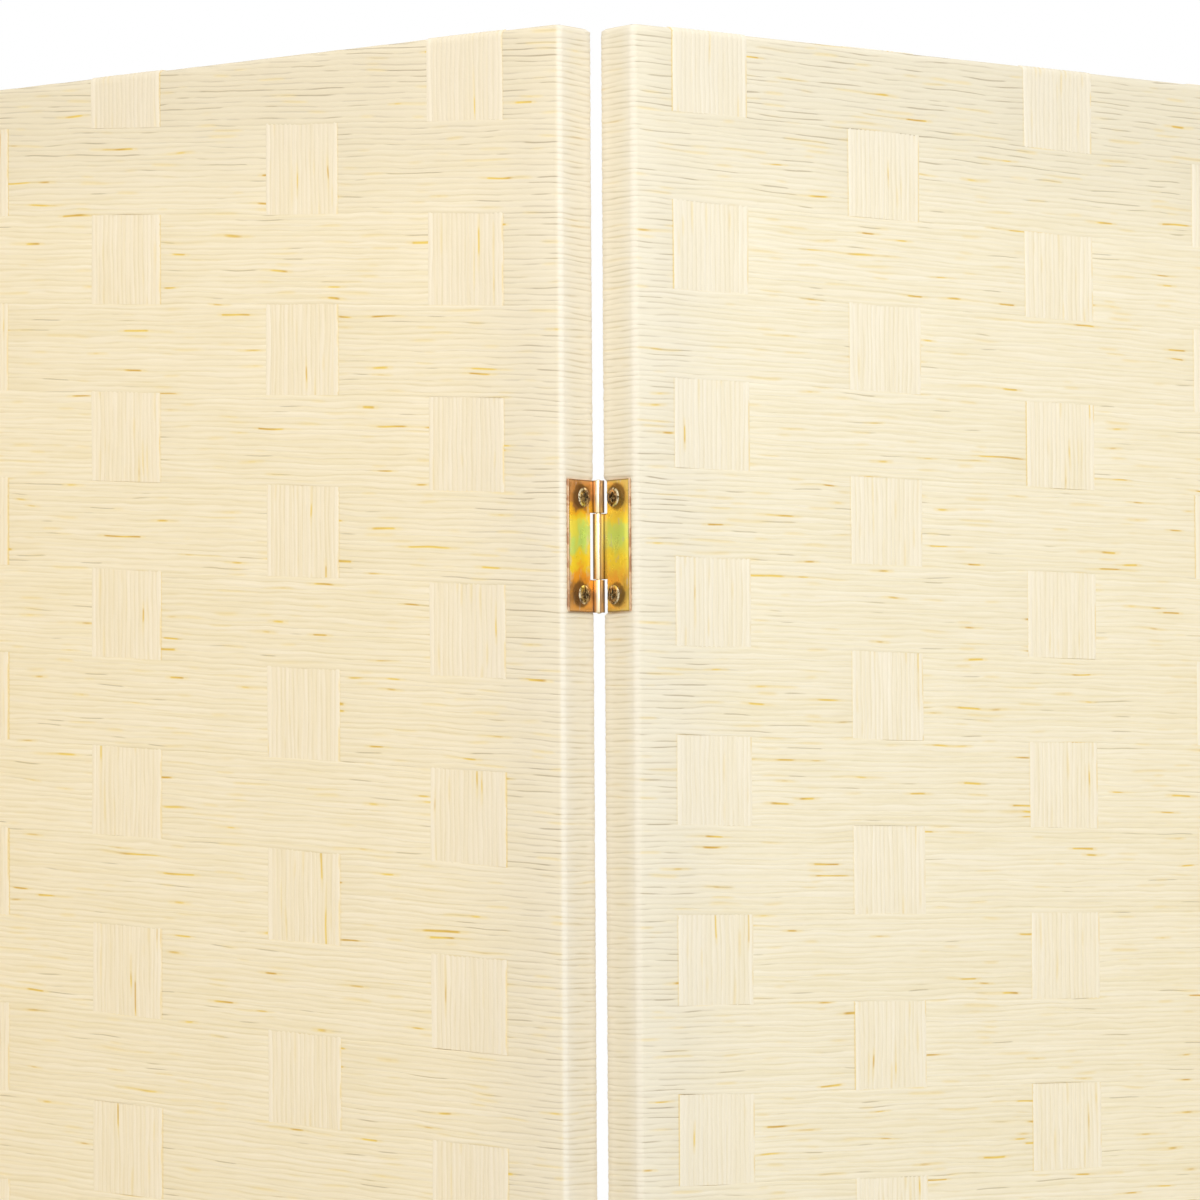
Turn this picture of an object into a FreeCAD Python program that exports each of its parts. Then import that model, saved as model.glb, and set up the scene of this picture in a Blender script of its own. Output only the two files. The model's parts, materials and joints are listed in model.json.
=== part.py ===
import FreeCAD, Part
import math
import os

import Sketcher

# A free-standing folding screen: four wood frames covered with bands of paper cord, hinged edge to edge.
# Millimetres, +Z up. The origin is on the floor, in the middle of the screen's box.

doc = FreeCAD.newDocument("FoldingScreen")
sizes = doc.addObject("Spreadsheet::Sheet", "Dim")

DRIVING_SIZES = [
    # One panel
    ("panel_width", 400, "across one panel, weave included"),
    ("panel_height", 1700, "floor to the top of the weave"),
    ("foot_height", 36, "bare stile below the weave"),
    ("fold_angle", 38, "turn of each panel from the straight line, degrees"),
    # Wood frame
    ("stile_width", 18, "along the panel"),
    ("stile_depth", 15, "through the panel"),
    ("rail_height", 20, "upright size of a rail"),
    ("rail_depth", 12, "through the panel, thinner than a stile so that the warp passes"),
    ("dowel_radius", 3, "dowel at each rail end"),
    ("dowel_length", 24, "half of it in the rail"),
    ("dowel_clearance", 0.05, "round and past the end of a dowel"),
    # Woven cover
    ("weft_wall", 1.5, "thickness of a level band"),
    ("weft_corner", 0.8, "round of a level band at the panel's corners"),
    ("band_count", 52, "level bands in one panel"),
    ("band_gap", 0.7, "between two level bands, where the warp passes through"),
    ("warp_columns", 5, "upright bands in one panel"),
    ("warp_pitch", 81, "between upright bands"),
    ("warp_width", 34, "width of an upright band"),
    ("warp_thickness", 0.4, "thickness of an upright band"),
    ("warp_clearance", 0.05, "between an upright band and what it lies on"),
    # Butt hinges
    ("leaf_height", 45, "along the pin"),
    ("leaf_reach", 15.2, "pin axis to the free edge of a leaf"),
    ("leaf_thickness", 1, "sheet that the leaf and its knuckles are rolled from"),
    ("leaf_seat", 0.4, "depth that a leaf is pressed into the cover"),
    ("leaf_clearance", 0.1, "round a leaf in its seat"),
    ("middle_knuckle", 22.3, "length of the single knuckle"),
    ("knuckle_gap", 0.3, "between knuckles along the pin"),
    ("knuckle_slot", 1.4, "room between a leaf and the other leaf's knuckle"),
    ("pin_radius", 0.95, "hinge pin"),
    ("pin_clearance", 0.05, "running fit of the pin in the knuckles"),
    ("pin_dome", 0.4, "round end of the pin past the knuckles"),
    ("pin_setback", 0.7, "pin axis off the panel's face"),
    ("hinge_from_top", 177, "top of the panel to the middle of the top hinge"),
    ("hinge_from_bottom", 177, "bottom of the weave to the middle of the bottom hinge"),
    # Wood screws
    ("screw_radius", 1.5, "shank"),
    ("screw_length", 14, "leaf surface to the point"),
    ("screw_tip", 3, "length of the point"),
    ("head_radius", 3.3, "countersunk head at the leaf surface"),
    ("head_dome", 0.5, "oval top above the leaf surface"),
    ("screw_clearance", 0.05, "round the screw in the leaf and the stile"),
    ("recess_length", 3.4, "cross recess, end to end"),
    ("recess_width", 0.8, "one slot of the cross recess"),
    ("recess_depth", 1.1, "below the top of the head"),
    ("screw_from_pin", 6.6, "pin axis to the screw axis"),
    ("screw_from_end", 5.9, "end of the leaf to the screw axis"),
]
for row, (alias, amount, note) in enumerate(DRIVING_SIZES, start=1):
    sizes.set(f"A{row}", note)
    sizes.set(f"B{row}", str(amount))
    sizes.setAlias(f"B{row}", alias)
doc.recompute()

# Sizes that follow from the driving ones, as formulas that the features share.
PANEL_DEPTH = "(Dim.stile_depth + 2 * Dim.weft_wall)"
WARP_SPACE = "(Dim.warp_thickness + Dim.warp_clearance)"
WEAVE_BOTTOM = f"(Dim.foot_height + {WARP_SPACE})"
WEAVE_TOP = f"(Dim.panel_height - {WARP_SPACE})"
BAND_PITCH = f"(({WEAVE_TOP} - {WEAVE_BOTTOM} + Dim.band_gap) / Dim.band_count)"
RAIL_LENGTH = "(Dim.panel_width - 2 * (Dim.weft_wall + Dim.stile_width))"
TOP_RAIL = f"({WEAVE_TOP} - Dim.rail_height / 2)"
BOTTOM_RAIL = f"({WEAVE_BOTTOM} + Dim.rail_height / 2)"
BORE = "(Dim.pin_radius + Dim.pin_clearance)"
BARREL = f"({BORE} + Dim.leaf_thickness)"
PIN_FROM_EDGE = f"({BARREL} - Dim.leaf_seat)"
LEAF_PROUD = "(Dim.leaf_thickness - Dim.leaf_seat)"
TOP_HINGE = "(Dim.panel_height - Dim.hinge_from_top)"
BOTTOM_HINGE = "(Dim.foot_height + Dim.hinge_from_bottom)"
SCREW_HEIGHT = "(Dim.leaf_height / 2 - Dim.screw_from_end)"

RAIL_LEVELS = {
    "top": TOP_RAIL,
    "upper": f"({BOTTOM_RAIL} + ({TOP_RAIL} - {BOTTOM_RAIL}) * 2 / 3)",
    "lower": f"({BOTTOM_RAIL} + ({TOP_RAIL} - {BOTTOM_RAIL}) / 3)",
    "bottom": BOTTOM_RAIL,
}
HINGE_LEVELS = {
    "top": TOP_HINGE,
    "middle": f"(({TOP_HINGE} + {BOTTOM_HINGE}) / 2)",
    "bottom": BOTTOM_HINGE,
}

# Each fold joins the right edge of one panel to the left edge of the next. Its pins stand off the
# panels' front (-Y) or back (+Y) faces, the side towards which the fold closes.
FOLDS = [
    {"name": "fold_12", "panels": (1, 2), "pins": "front", "pin_panel": 2},
    {"name": "fold_23", "panels": (2, 3), "pins": "back", "pin_panel": 2},
    {"name": "fold_34", "panels": (3, 4), "pins": "front", "pin_panel": 3},
]
PANELS = (1, 2, 3, 4)


def value(formula):
    """The number that a formula on the sheet gives."""
    return float(sizes.evalExpression(formula))


def bind(thing, formulas):
    """Ties the named properties of a feature to formulas on the sheet."""
    for name, formula in formulas.items():
        thing.setExpression(name, formula)
    return thing


def at(x, y, z):
    """The formulas of a feature's place."""
    return {"Placement.Base.x": x, "Placement.Base.y": y, "Placement.Base.z": z}


ALONG = {
    "x": FreeCAD.Rotation(FreeCAD.Vector(0, 1, 0), 90),
    "-x": FreeCAD.Rotation(FreeCAD.Vector(0, 1, 0), -90),
    "z": FreeCAD.Rotation(),
}


def box(name, length, width, height, place):
    made = doc.addObject("Part::Box", name)
    return bind(made, {"Length": length, "Width": width, "Height": height, **place})


def rod(name, radius, length, place, along="z"):
    made = doc.addObject("Part::Cylinder", name)
    made.Placement = FreeCAD.Placement(FreeCAD.Vector(), ALONG[along])
    return bind(made, {"Radius": radius, "Height": length, **place})


def cone(name, near_radius, far_radius, length, place, along="z"):
    made = doc.addObject("Part::Cone", name)
    made.Placement = FreeCAD.Placement(FreeCAD.Vector(), ALONG[along])
    return bind(made, {"Radius1": near_radius, "Radius2": far_radius, "Height": length, **place})


def gather(name, things):
    """A group of separate solids as one object."""
    made = doc.addObject("Part::Compound", name)
    made.Links = things
    return made


def cut(name, base, tools):
    made = doc.addObject("Part::Cut", name)
    made.Base = base
    made.Tool = gather(f"{name}_tools", tools)
    return made


def fuse(name, things):
    made = doc.addObject("Part::MultiFuse", name)
    made.Shapes = things
    return made


def copy_of(master, name, place, turn=FreeCAD.Rotation()):
    """One more of a piece that is made in quantity, turned first and then put in its place."""
    made = doc.addObject("App::Link", name)
    made.LinkedObject = master
    made.Placement = FreeCAD.Placement(FreeCAD.Vector(), turn)
    return bind(made, place)


# Which hinges a panel's edge carries: the fold, or None at the screen's two free ends.
def fold_at(panel, side):
    member = 0 if side == "right" else 1
    return next((fold for fold in FOLDS if fold["panels"][member] == panel), None)


def pin_place(side, pins):
    """Formulas of the pin axis in the panel's own frame, whose corner is at its lower left front."""
    across = f"-{PIN_FROM_EDGE}" if side == "left" else f"(Dim.panel_width + {PIN_FROM_EDGE})"
    through = "-Dim.pin_setback" if pins == "front" else f"({PANEL_DEPTH} + Dim.pin_setback)"
    return across, through


def screw_places(side, pins):
    """Where the screws of an edge go in: through the panel and up it, for each hinge in turn."""
    through = pin_place(side, pins)[1]
    inward = "+" if pins == "front" else "-"
    for level in HINGE_LEVELS.values():
        for end in ("-", "+"):
            yield f"({through} {inward} Dim.screw_from_pin)", f"({level} {end} {SCREW_HEIGHT})"


# Wood frame: battens of pine, drilled for the dowels and for the hinge screws.
def stile(panel, side):
    name = f"panel_{panel}_{side}_stile"
    left = "Dim.weft_wall" if side == "left" else "(Dim.panel_width - Dim.weft_wall - Dim.stile_width)"
    inner = f"({left} + Dim.stile_width)" if side == "left" else left
    outer = left if side == "left" else f"({left} + Dim.stile_width)"
    into_stile = "-x" if side == "left" else "x"
    into_edge = "x" if side == "left" else "-x"
    batten = box(
        f"{name}_batten", "Dim.stile_width", "Dim.stile_depth", WEAVE_TOP, at(left, "Dim.weft_wall", "0")
    )
    holes = [
        rod(
            f"{name}_dowel_hole_{level_name}",
            "Dim.dowel_radius + Dim.dowel_clearance",
            "Dim.dowel_length / 2 + Dim.dowel_clearance",
            at(inner, f"{PANEL_DEPTH} / 2", level),
            into_stile,
        )
        for level_name, level in RAIL_LEVELS.items()
    ]
    fold = fold_at(panel, side)
    if fold:
        holes += [
            rod(
                f"{name}_screw_hole_{count}",
                "Dim.screw_radius + Dim.screw_clearance",
                f"Dim.screw_length - {LEAF_PROUD} - Dim.weft_wall + Dim.screw_clearance",
                at(outer, through, up),
                into_edge,
            )
            for count, (through, up) in enumerate(screw_places(side, fold["pins"]))
        ]
    return cut(name, batten, holes)


def rail():
    """A rail in the middle of its own length, with a dowel hole in each end."""
    half = f"{RAIL_LENGTH} / 2"
    batten = box(
        "rail_batten",
        RAIL_LENGTH,
        "Dim.rail_depth",
        "Dim.rail_height",
        at(f"-{half}", "-Dim.rail_depth / 2", "-Dim.rail_height / 2"),
    )
    radius = "Dim.dowel_radius + Dim.dowel_clearance"
    depth = "Dim.dowel_length / 2 + Dim.dowel_clearance"
    holes = [
        rod("rail_left_hole", radius, depth, at(f"-{half}", "0", "0"), "x"),
        rod("rail_right_hole", radius, depth, at(half, "0", "0"), "-x"),
    ]
    return cut("rail", batten, holes)


def rails(panel, label, levels):
    middle = ("Dim.panel_width / 2", f"{PANEL_DEPTH} / 2")
    copies = [
        copy_of(rail_master, f"panel_{panel}_{name}_rail_copy", at(*middle, RAIL_LEVELS[name]))
        for name in levels
    ]
    return gather(f"panel_{panel}_{label}", copies)


def dowels(panel):
    made = []
    for side, joint in (("left", f"-{RAIL_LENGTH} / 2"), ("right", f"{RAIL_LENGTH} / 2")):
        start = f"(Dim.panel_width / 2 + {joint} - Dim.dowel_length / 2)"
        for name, level in RAIL_LEVELS.items():
            place = at(start, f"{PANEL_DEPTH} / 2", level)
            made.append(
                rod(f"panel_{panel}_{side}_{name}_dowel", "Dim.dowel_radius", "Dim.dowel_length", place, "x")
            )
    return gather(f"panel_{panel}_dowels", made)


# Woven cover: level bands of cord wound round the stiles, upright bands that pass over and under them.
def origin_feature(body, role):
    return next(feature for feature in body.Origin.OriginFeatures if feature.Role == role)


def flat_sketch(body, name, role, offset):
    sketch = body.newObject("Sketcher::SketchObject", name)
    sketch.AttachmentSupport = [(origin_feature(body, role), "")]
    sketch.MapMode = "FlatFace"
    sketch.setExpression("AttachmentOffset.Base.z", offset)
    return sketch


def size_constraint(sketch, constraint, name, formula):
    """Adds a dimension to a sketch and ties it to the sheet."""
    index = sketch.addConstraint(constraint)
    sketch.renameConstraint(index, name)
    sketch.setExpression(f"Constraints.{name}", formula)


def draw_outside(sketch):
    """The outside of a level band: a rectangle from the origin with four equal rounds."""
    across = value("Dim.panel_width")
    deep = value(PANEL_DEPTH)
    corner = value("Dim.weft_corner")
    up = FreeCAD.Vector(0, 0, 1)
    turns = [
        (across - corner, corner, -90),
        (across - corner, deep - corner, 0),
        (corner, deep - corner, 90),
        (corner, corner, 180),
    ]
    arcs = []
    for x, y, start in turns:
        circle = Part.Circle(FreeCAD.Vector(x, y, 0), up, corner)
        arcs.append(Part.ArcOfCircle(circle, math.radians(start), math.radians(start + 90)))
    for arc, before in zip(arcs, arcs[-1:] + arcs[:-1]):
        sketch.addGeometry(Part.LineSegment(before.EndPoint, arc.StartPoint))
        sketch.addGeometry(arc)
    for side in range(4):
        line = 2 * side
        arc = line + 1
        sketch.addConstraint(Sketcher.Constraint("Tangent", line, 2, arc, 1))
        sketch.addConstraint(Sketcher.Constraint("Tangent", arc, 2, (line + 2) % 8, 1))
        sketch.addConstraint(Sketcher.Constraint("Vertical" if side % 2 else "Horizontal", line))
        if side:
            sketch.addConstraint(Sketcher.Constraint("Equal", 1, arc))
    sketch.addConstraint(Sketcher.Constraint("PointOnObject", 0, 1, -1))
    sketch.addConstraint(Sketcher.Constraint("PointOnObject", 6, 1, -2))
    size_constraint(sketch, Sketcher.Constraint("Radius", 1, corner), "corner", "Dim.weft_corner")
    to_right = Sketcher.Constraint("DistanceX", -1, 1, 2, 1, across)
    to_back = Sketcher.Constraint("DistanceY", -1, 1, 4, 1, deep)
    size_constraint(sketch, to_right, "across", "Dim.panel_width")
    size_constraint(sketch, to_back, "deep", PANEL_DEPTH)


def draw_inside(sketch):
    """The inside of a level band: a square-cornered rectangle that fits the stiles."""
    wall = value("Dim.weft_wall")
    right = value("Dim.panel_width") - wall
    back = value(PANEL_DEPTH) - wall
    places = ((wall, wall), (right, wall), (right, back), (wall, back))
    corners = [FreeCAD.Vector(x, y, 0) for x, y in places]
    first = len(sketch.Geometry)
    for start, end in zip(corners, corners[1:] + corners[:1]):
        sketch.addGeometry(Part.LineSegment(start, end))
    for side in range(4):
        line = first + side
        after = first + (side + 1) % 4
        sketch.addConstraint(Sketcher.Constraint("Coincident", line, 2, after, 1))
        sketch.addConstraint(Sketcher.Constraint("Vertical" if side % 2 else "Horizontal", line))
    to_left = Sketcher.Constraint("DistanceX", -1, 1, first, 1, wall)
    to_front = Sketcher.Constraint("DistanceY", -1, 1, first, 1, wall)
    to_right = Sketcher.Constraint("DistanceX", -1, 1, first + 1, 1, right)
    to_back = Sketcher.Constraint("DistanceY", -1, 1, first + 2, 1, back)
    size_constraint(sketch, to_left, "left", "Dim.weft_wall")
    size_constraint(sketch, to_front, "front", "Dim.weft_wall")
    size_constraint(sketch, to_right, "right", "Dim.panel_width - Dim.weft_wall")
    size_constraint(sketch, to_back, "back", f"{PANEL_DEPTH} - Dim.weft_wall")


def wound_bands(name):
    """A stack of level bands, before the hinges are let in."""
    body = doc.addObject("PartDesign::Body", name)
    body.AllowCompound = True
    outline = flat_sketch(body, f"{name}_outline", "XY_Plane", WEAVE_BOTTOM)
    draw_outside(outline)
    draw_inside(outline)
    band = body.newObject("PartDesign::Pad", f"{name}_band")
    band.Profile = outline
    bind(band, {"Length": f"{BAND_PITCH} - Dim.band_gap"})
    stack = body.newObject("PartDesign::LinearPattern", f"{name}_stack")
    stack.Originals = [band]
    stack.Direction = (origin_feature(body, "Z_Axis"), [""])
    bind(stack, {"Occurrences": "Dim.band_count", "Length": f"{BAND_PITCH} * (Dim.band_count - 1)"})
    body.Tip = stack
    return body


def hinge_seats(name, side, pins):
    """What a hinged edge loses: a shallow seat for each leaf, and a hole for the cone of each screw."""
    edge = "0" if side == "left" else "(Dim.panel_width - Dim.leaf_seat)"
    inside = "0" if side == "left" else "(Dim.panel_width - Dim.weft_wall)"
    through = pin_place(side, pins)[1]
    reach = "(Dim.leaf_reach + Dim.leaf_clearance)"
    front = through if pins == "front" else f"({through} - {reach})"
    height = "(Dim.leaf_height + 2 * Dim.leaf_clearance)"
    cuts = []
    for level, middle in HINGE_LEVELS.items():
        corner = at(edge, front, f"{middle} - {height} / 2")
        cuts.append(box(f"{name}_{level}_seat", "Dim.leaf_seat", reach, height, corner))
    radius = "Dim.head_radius - Dim.leaf_thickness + 2 * Dim.screw_clearance"
    for count, (across, up) in enumerate(screw_places(side, pins)):
        cuts.append(rod(f"{name}_screw_hole_{count}", radius, "Dim.weft_wall", at(inside, across, up), "x"))
    return cuts


def weft_bands(panel):
    """The level bands of a panel, let in where its hinges lie."""
    name = f"panel_{panel}_weft_bands"
    cuts = []
    for side in ("left", "right"):
        fold = fold_at(panel, side)
        if fold:
            cuts += hinge_seats(f"{name}_{side}", side, fold["pins"])
    return cut(name, wound_bands(f"{name}_wound"), cuts)


def warp_path(top_over):
    """The closed line of an upright band in (y, z): up the front, over the top, down the back.

    It goes outside and inside the level bands by turns, through the gaps between them.
    """
    wall = value("Dim.weft_wall")
    reach = value("Dim.warp_thickness") / 2 + value("Dim.warp_clearance")
    depth = value(PANEL_DEPTH)
    pitch = value(BAND_PITCH)
    count = int(value("Dim.band_count"))
    bottom = value("Dim.foot_height") + value("Dim.warp_thickness") / 2
    top = value("Dim.panel_height") - value("Dim.warp_thickness") / 2
    first_gap = value(WEAVE_BOTTOM) - value("Dim.band_gap") / 2
    front = []
    for band in range(count):
        over = (count - 1 - band) % 2 == (0 if top_over else 1)
        y = -reach if over else wall + reach
        low = bottom if band == 0 else first_gap + band * pitch
        high = top if band == count - 1 else first_gap + (band + 1) * pitch
        front += [(y, low), (y, high)]
    back = [(depth - y, z) for y, z in reversed(front)]
    return front + back


def offset_loop(path, distance):
    """A closed loop of square corners, moved outwards by a distance."""
    moved = []
    for index, (y, z) in enumerate(path):
        before = path[index - 1]
        after = path[(index + 1) % len(path)]
        shift_y = shift_z = 0
        for (y0, z0), (y1, z1) in ((before, (y, z)), ((y, z), after)):
            length = math.hypot(y1 - y0, z1 - z0)
            shift_y += -(z1 - z0) / length
            shift_z += (y1 - y0) / length
        moved.append((y + distance * shift_y, z + distance * shift_z))
    return moved


def warp_band(centre, top_over):
    """One upright band, as wide as its bundle of cords."""
    width = value("Dim.warp_width")
    half = value("Dim.warp_thickness") / 2
    path = warp_path(top_over)
    outlines = []
    for distance in (half, -half):
        points = [FreeCAD.Vector(centre - width / 2, y, z) for y, z in offset_loop(path, distance)]
        outlines.append(Part.makePolygon(points + points[:1]))
    return Part.makeFace(outlines, "Part::FaceMakerBullseye").extrude(FreeCAD.Vector(width, 0, 0))


def warp_bands(panel):
    columns = int(value("Dim.warp_columns"))
    pitch = value("Dim.warp_pitch")
    first = (value("Dim.panel_width") - (columns - 1) * pitch) / 2
    bands = [warp_band(first + column * pitch, column % 2 == 0) for column in range(columns)]
    made = doc.addObject("Part::Feature", f"panel_{panel}_warp_bands")
    made.Shape = Part.Compound(bands)
    return made


# Butt hinges: two leaves rolled from sheet metal, a pin and wood screws. A leaf is made about its pin
# axis, with its free edge towards +Y and the face that lies on the panel towards +X.
def leaf(name, knuckle_cuts):
    half = "Dim.leaf_height / 2"
    barrel_end = at("0", "0", f"-{half}")
    plate = box(
        f"{name}_plate", "Dim.leaf_thickness", "Dim.leaf_reach", "Dim.leaf_height", at(BORE, "0", f"-{half}")
    )
    barrel = rod(f"{name}_barrel", BARREL, "Dim.leaf_height", barrel_end)
    cuts = [rod(f"{name}_bore", BORE, "Dim.leaf_height", barrel_end)]
    for count, (low, height) in enumerate(knuckle_cuts):
        room = f"2 * {BARREL} + Dim.knuckle_slot"
        corner = at(f"-{BARREL}", f"-{BARREL}", low)
        cuts.append(box(f"{name}_room_{count}", f"2 * {BARREL}", room, height, corner))
    wide = "Dim.head_radius + Dim.screw_clearance"
    for count, end in enumerate(("-", "+")):
        place = at(BORE, "Dim.screw_from_pin", f"{end}{SCREW_HEIGHT}")
        narrow = f"{wide} - Dim.leaf_thickness"
        cuts.append(cone(f"{name}_countersink_{count}", wide, narrow, "Dim.leaf_thickness", place, "x"))
    return cut(name, fuse(f"{name}_blank", [plate, barrel]), cuts)


def two_knuckle_leaf():
    height = "(Dim.middle_knuckle + 2 * Dim.knuckle_gap)"
    return leaf("two_knuckle_leaf", [(f"-{height} / 2", height)])


def one_knuckle_leaf():
    height = "((Dim.leaf_height - Dim.middle_knuckle) / 2)"
    return leaf(
        "one_knuckle_leaf", [("-Dim.leaf_height / 2", height), ("Dim.middle_knuckle / 2", height)]
    )


def ball_end(name, radius, rise, place, turn=FreeCAD.Rotation()):
    """A shallow round cap of a given rim and rise, on the plane through its place."""
    ball = f"(({radius}) * ({radius}) + {rise} * {rise}) / (2 * {rise})"
    cap = doc.addObject("Part::Sphere", f"{name}_ball")
    bind(cap, {"Radius": ball, "Angle1": f"asin(({ball} - {rise}) / ({ball}))"})
    bind(cap, at("0", "0", f"{rise} - {ball}"))
    return copy_of(gather(f"{name}_cap", [cap]), name, place, turn)


def pin():
    half = "Dim.leaf_height / 2"
    over = FreeCAD.Rotation(FreeCAD.Vector(1, 0, 0), 180)
    shaft = rod("pin_shaft", "Dim.pin_radius", "Dim.leaf_height", at("0", "0", f"-{half}"))
    top = ball_end("pin_top", "Dim.pin_radius", "Dim.pin_dome", at("0", "0", half))
    foot = ball_end("pin_foot", "Dim.pin_radius", "Dim.pin_dome", at("0", "0", f"-{half}"), over)
    return fuse("pin", [shaft, top, foot])


def screw():
    """A countersunk oval-head screw along its own Z axis, point down, with the leaf surface at zero."""
    neck = "(Dim.head_radius - Dim.screw_radius)"
    straight = f"(Dim.screw_length - Dim.screw_tip - {neck})"
    nearly_sharp = "Dim.screw_radius / 10"
    foot = at("0", "0", "-Dim.screw_length")
    head = cone("screw_head", "Dim.screw_radius", "Dim.head_radius", neck, at("0", "0", f"-{neck}"))
    shank = rod("screw_shank", "Dim.screw_radius", straight, at("0", "0", f"-{neck} - {straight}"))
    point = cone("screw_point", nearly_sharp, "Dim.screw_radius", "Dim.screw_tip", foot)
    oval = ball_end("screw_oval", "Dim.head_radius", "Dim.head_dome", at("0", "0", "0"))
    slots = [
        box(
            f"screw_slot_{count}",
            long,
            wide,
            "Dim.recess_depth",
            at(f"-{long} / 2", f"-{wide} / 2", "Dim.head_dome - Dim.recess_depth"),
        )
        for count, (long, wide) in enumerate(
            (("Dim.recess_length", "Dim.recess_width"), ("Dim.recess_width", "Dim.recess_length"))
        )
    ]
    made = doc.addObject("Part::Cut", "screw")
    made.Base = fuse("screw_blank", [head, shank, point, oval])
    made.Tool = fuse("screw_recess", slots)
    return made


# How a leaf is turned to lie on an edge: its panel side towards the panel, its free edge away from the pin.
LEAF_TURNS = {
    ("left", "front"): FreeCAD.Rotation(),
    ("left", "back"): FreeCAD.Rotation(FreeCAD.Vector(1, 0, 0), 180),
    ("right", "front"): FreeCAD.Rotation(FreeCAD.Vector(0, 1, 0), 180),
    ("right", "back"): FreeCAD.Rotation(FreeCAD.Vector(0, 0, 1), 180),
}


def hinge_leaf(fold, level, panel, side):
    knuckles = two_leaf_master if panel == fold["pin_panel"] else one_leaf_master
    name = f"{fold['name']}_{level}_leaf_{panel}"
    place = at(*pin_place(side, fold["pins"]), HINGE_LEVELS[level])
    turn = LEAF_TURNS[side, fold["pins"]]
    return gather(name, [copy_of(knuckles, f"{name}_copy", place, turn)])


def hinge_pins(fold, side):
    place = pin_place(side, fold["pins"])
    copies = [
        copy_of(pin_master, f"{fold['name']}_{level}_pin", at(*place, height))
        for level, height in HINGE_LEVELS.items()
    ]
    return gather(f"{fold['name']}_pins", copies)


def hinge_screws(fold, panel, side):
    name = f"{fold['name']}_screws_{panel}"
    surface = f"-{LEAF_PROUD}" if side == "left" else f"(Dim.panel_width + {LEAF_PROUD})"
    turn = ALONG["-x"] if side == "left" else ALONG["x"]
    copies = [
        copy_of(screw_master, f"{name}_{count}", at(surface, through, up), turn)
        for count, (through, up) in enumerate(screw_places(side, fold["pins"]))
    ]
    return gather(name, copies)


# Where the panels stand: each fold turns the next panel the other way, and both share the fold's pin axis.
def panel_turn(panel):
    return value("Dim.fold_angle") * (1 if panel % 2 else -1)


def turned(angle, x, y):
    radians = math.radians(angle)
    return x * math.cos(radians) - y * math.sin(radians), x * math.sin(radians) + y * math.cos(radians)


def panel_places():
    """The floor place of each panel's corner, with the screen's box centred on the origin."""
    corners = {PANELS[0]: (0.0, 0.0)}
    for fold in FOLDS:
        left, right = fold["panels"]
        pin_on_left = turned(panel_turn(left), *(value(part) for part in pin_place("right", fold["pins"])))
        pin_on_right = turned(panel_turn(right), *(value(part) for part in pin_place("left", fold["pins"])))
        corners[right] = tuple(corners[left][k] + pin_on_left[k] - pin_on_right[k] for k in (0, 1))
    corner = value("Dim.weft_corner")
    across = value("Dim.panel_width") - corner
    through = value(PANEL_DEPTH) - corner
    reach = {0: [], 1: []}
    for panel in PANELS:
        for x, y in ((corner, corner), (across, corner), (corner, through), (across, through)):
            centre = turned(panel_turn(panel), x, y)
            for k in (0, 1):
                reach[k] += [corners[panel][k] + centre[k] - corner, corners[panel][k] + centre[k] + corner]
    middle = [(min(reach[k]) + max(reach[k])) / 2 for k in (0, 1)]
    return {panel: (x - middle[0], y - middle[1]) for panel, (x, y) in corners.items()}


PLACES = panel_places()
rail_master = rail()
two_leaf_master = two_knuckle_leaf()
one_leaf_master = one_knuckle_leaf()
pin_master = pin()
screw_master = screw()
doc.recompute()

parts = []


def stand(part, panel):
    """Puts a finished piece with its panel and names it."""
    turn = FreeCAD.Rotation(FreeCAD.Vector(0, 0, 1), panel_turn(panel))
    part.Placement = FreeCAD.Placement(FreeCAD.Vector(*PLACES[panel], 0), turn)
    part.Label = part.Name
    parts.append(part)


for panel in PANELS:
    stand(stile(panel, "left"), panel)
    stand(stile(panel, "right"), panel)
    stand(rails(panel, "top_rail", ["top"]), panel)
    stand(rails(panel, "middle_rails", ["upper", "lower"]), panel)
    stand(rails(panel, "bottom_rail", ["bottom"]), panel)
    stand(dowels(panel), panel)
    stand(weft_bands(panel), panel)
    stand(warp_bands(panel), panel)

for fold in FOLDS:
    for panel, side in zip(fold["panels"], ("right", "left")):
        for level in HINGE_LEVELS:
            stand(hinge_leaf(fold, level, panel, side), panel)
        stand(hinge_screws(fold, panel, side), panel)
        if panel == fold["pin_panel"]:
            stand(hinge_pins(fold, side), panel)

doc.recompute()

for thing in doc.Objects:
    if "Invalid" in thing.State or "Error" in thing.State:
        raise RuntimeError(f"{thing.Label} failed: {thing.State}")
for part in parts:
    if part.Shape.isNull() or not part.Shape.isValid() or not part.Shape.Solids:
        raise RuntimeError(f"{part.Label} has no valid solid")

os.makedirs("parts", exist_ok=True)
for part in parts:
    part.Shape.exportStep(f"parts/{part.Label}.step")
    print(f"{part.Label}: {len(part.Shape.Solids)} solids, {part.Shape.Volume / 1000:.2f} cm3")

for fold in FOLDS:
    left = fold["panels"][0]
    x, y = turned(panel_turn(left), *(value(part) for part in pin_place("right", fold["pins"])))
    print(f"{fold['name']} pin axis at {PLACES[left][0] + x:.4f}, {PLACES[left][1] + y:.4f}")
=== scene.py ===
import json
import math

import bmesh
import bpy
from mathutils import Matrix, Vector

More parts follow.
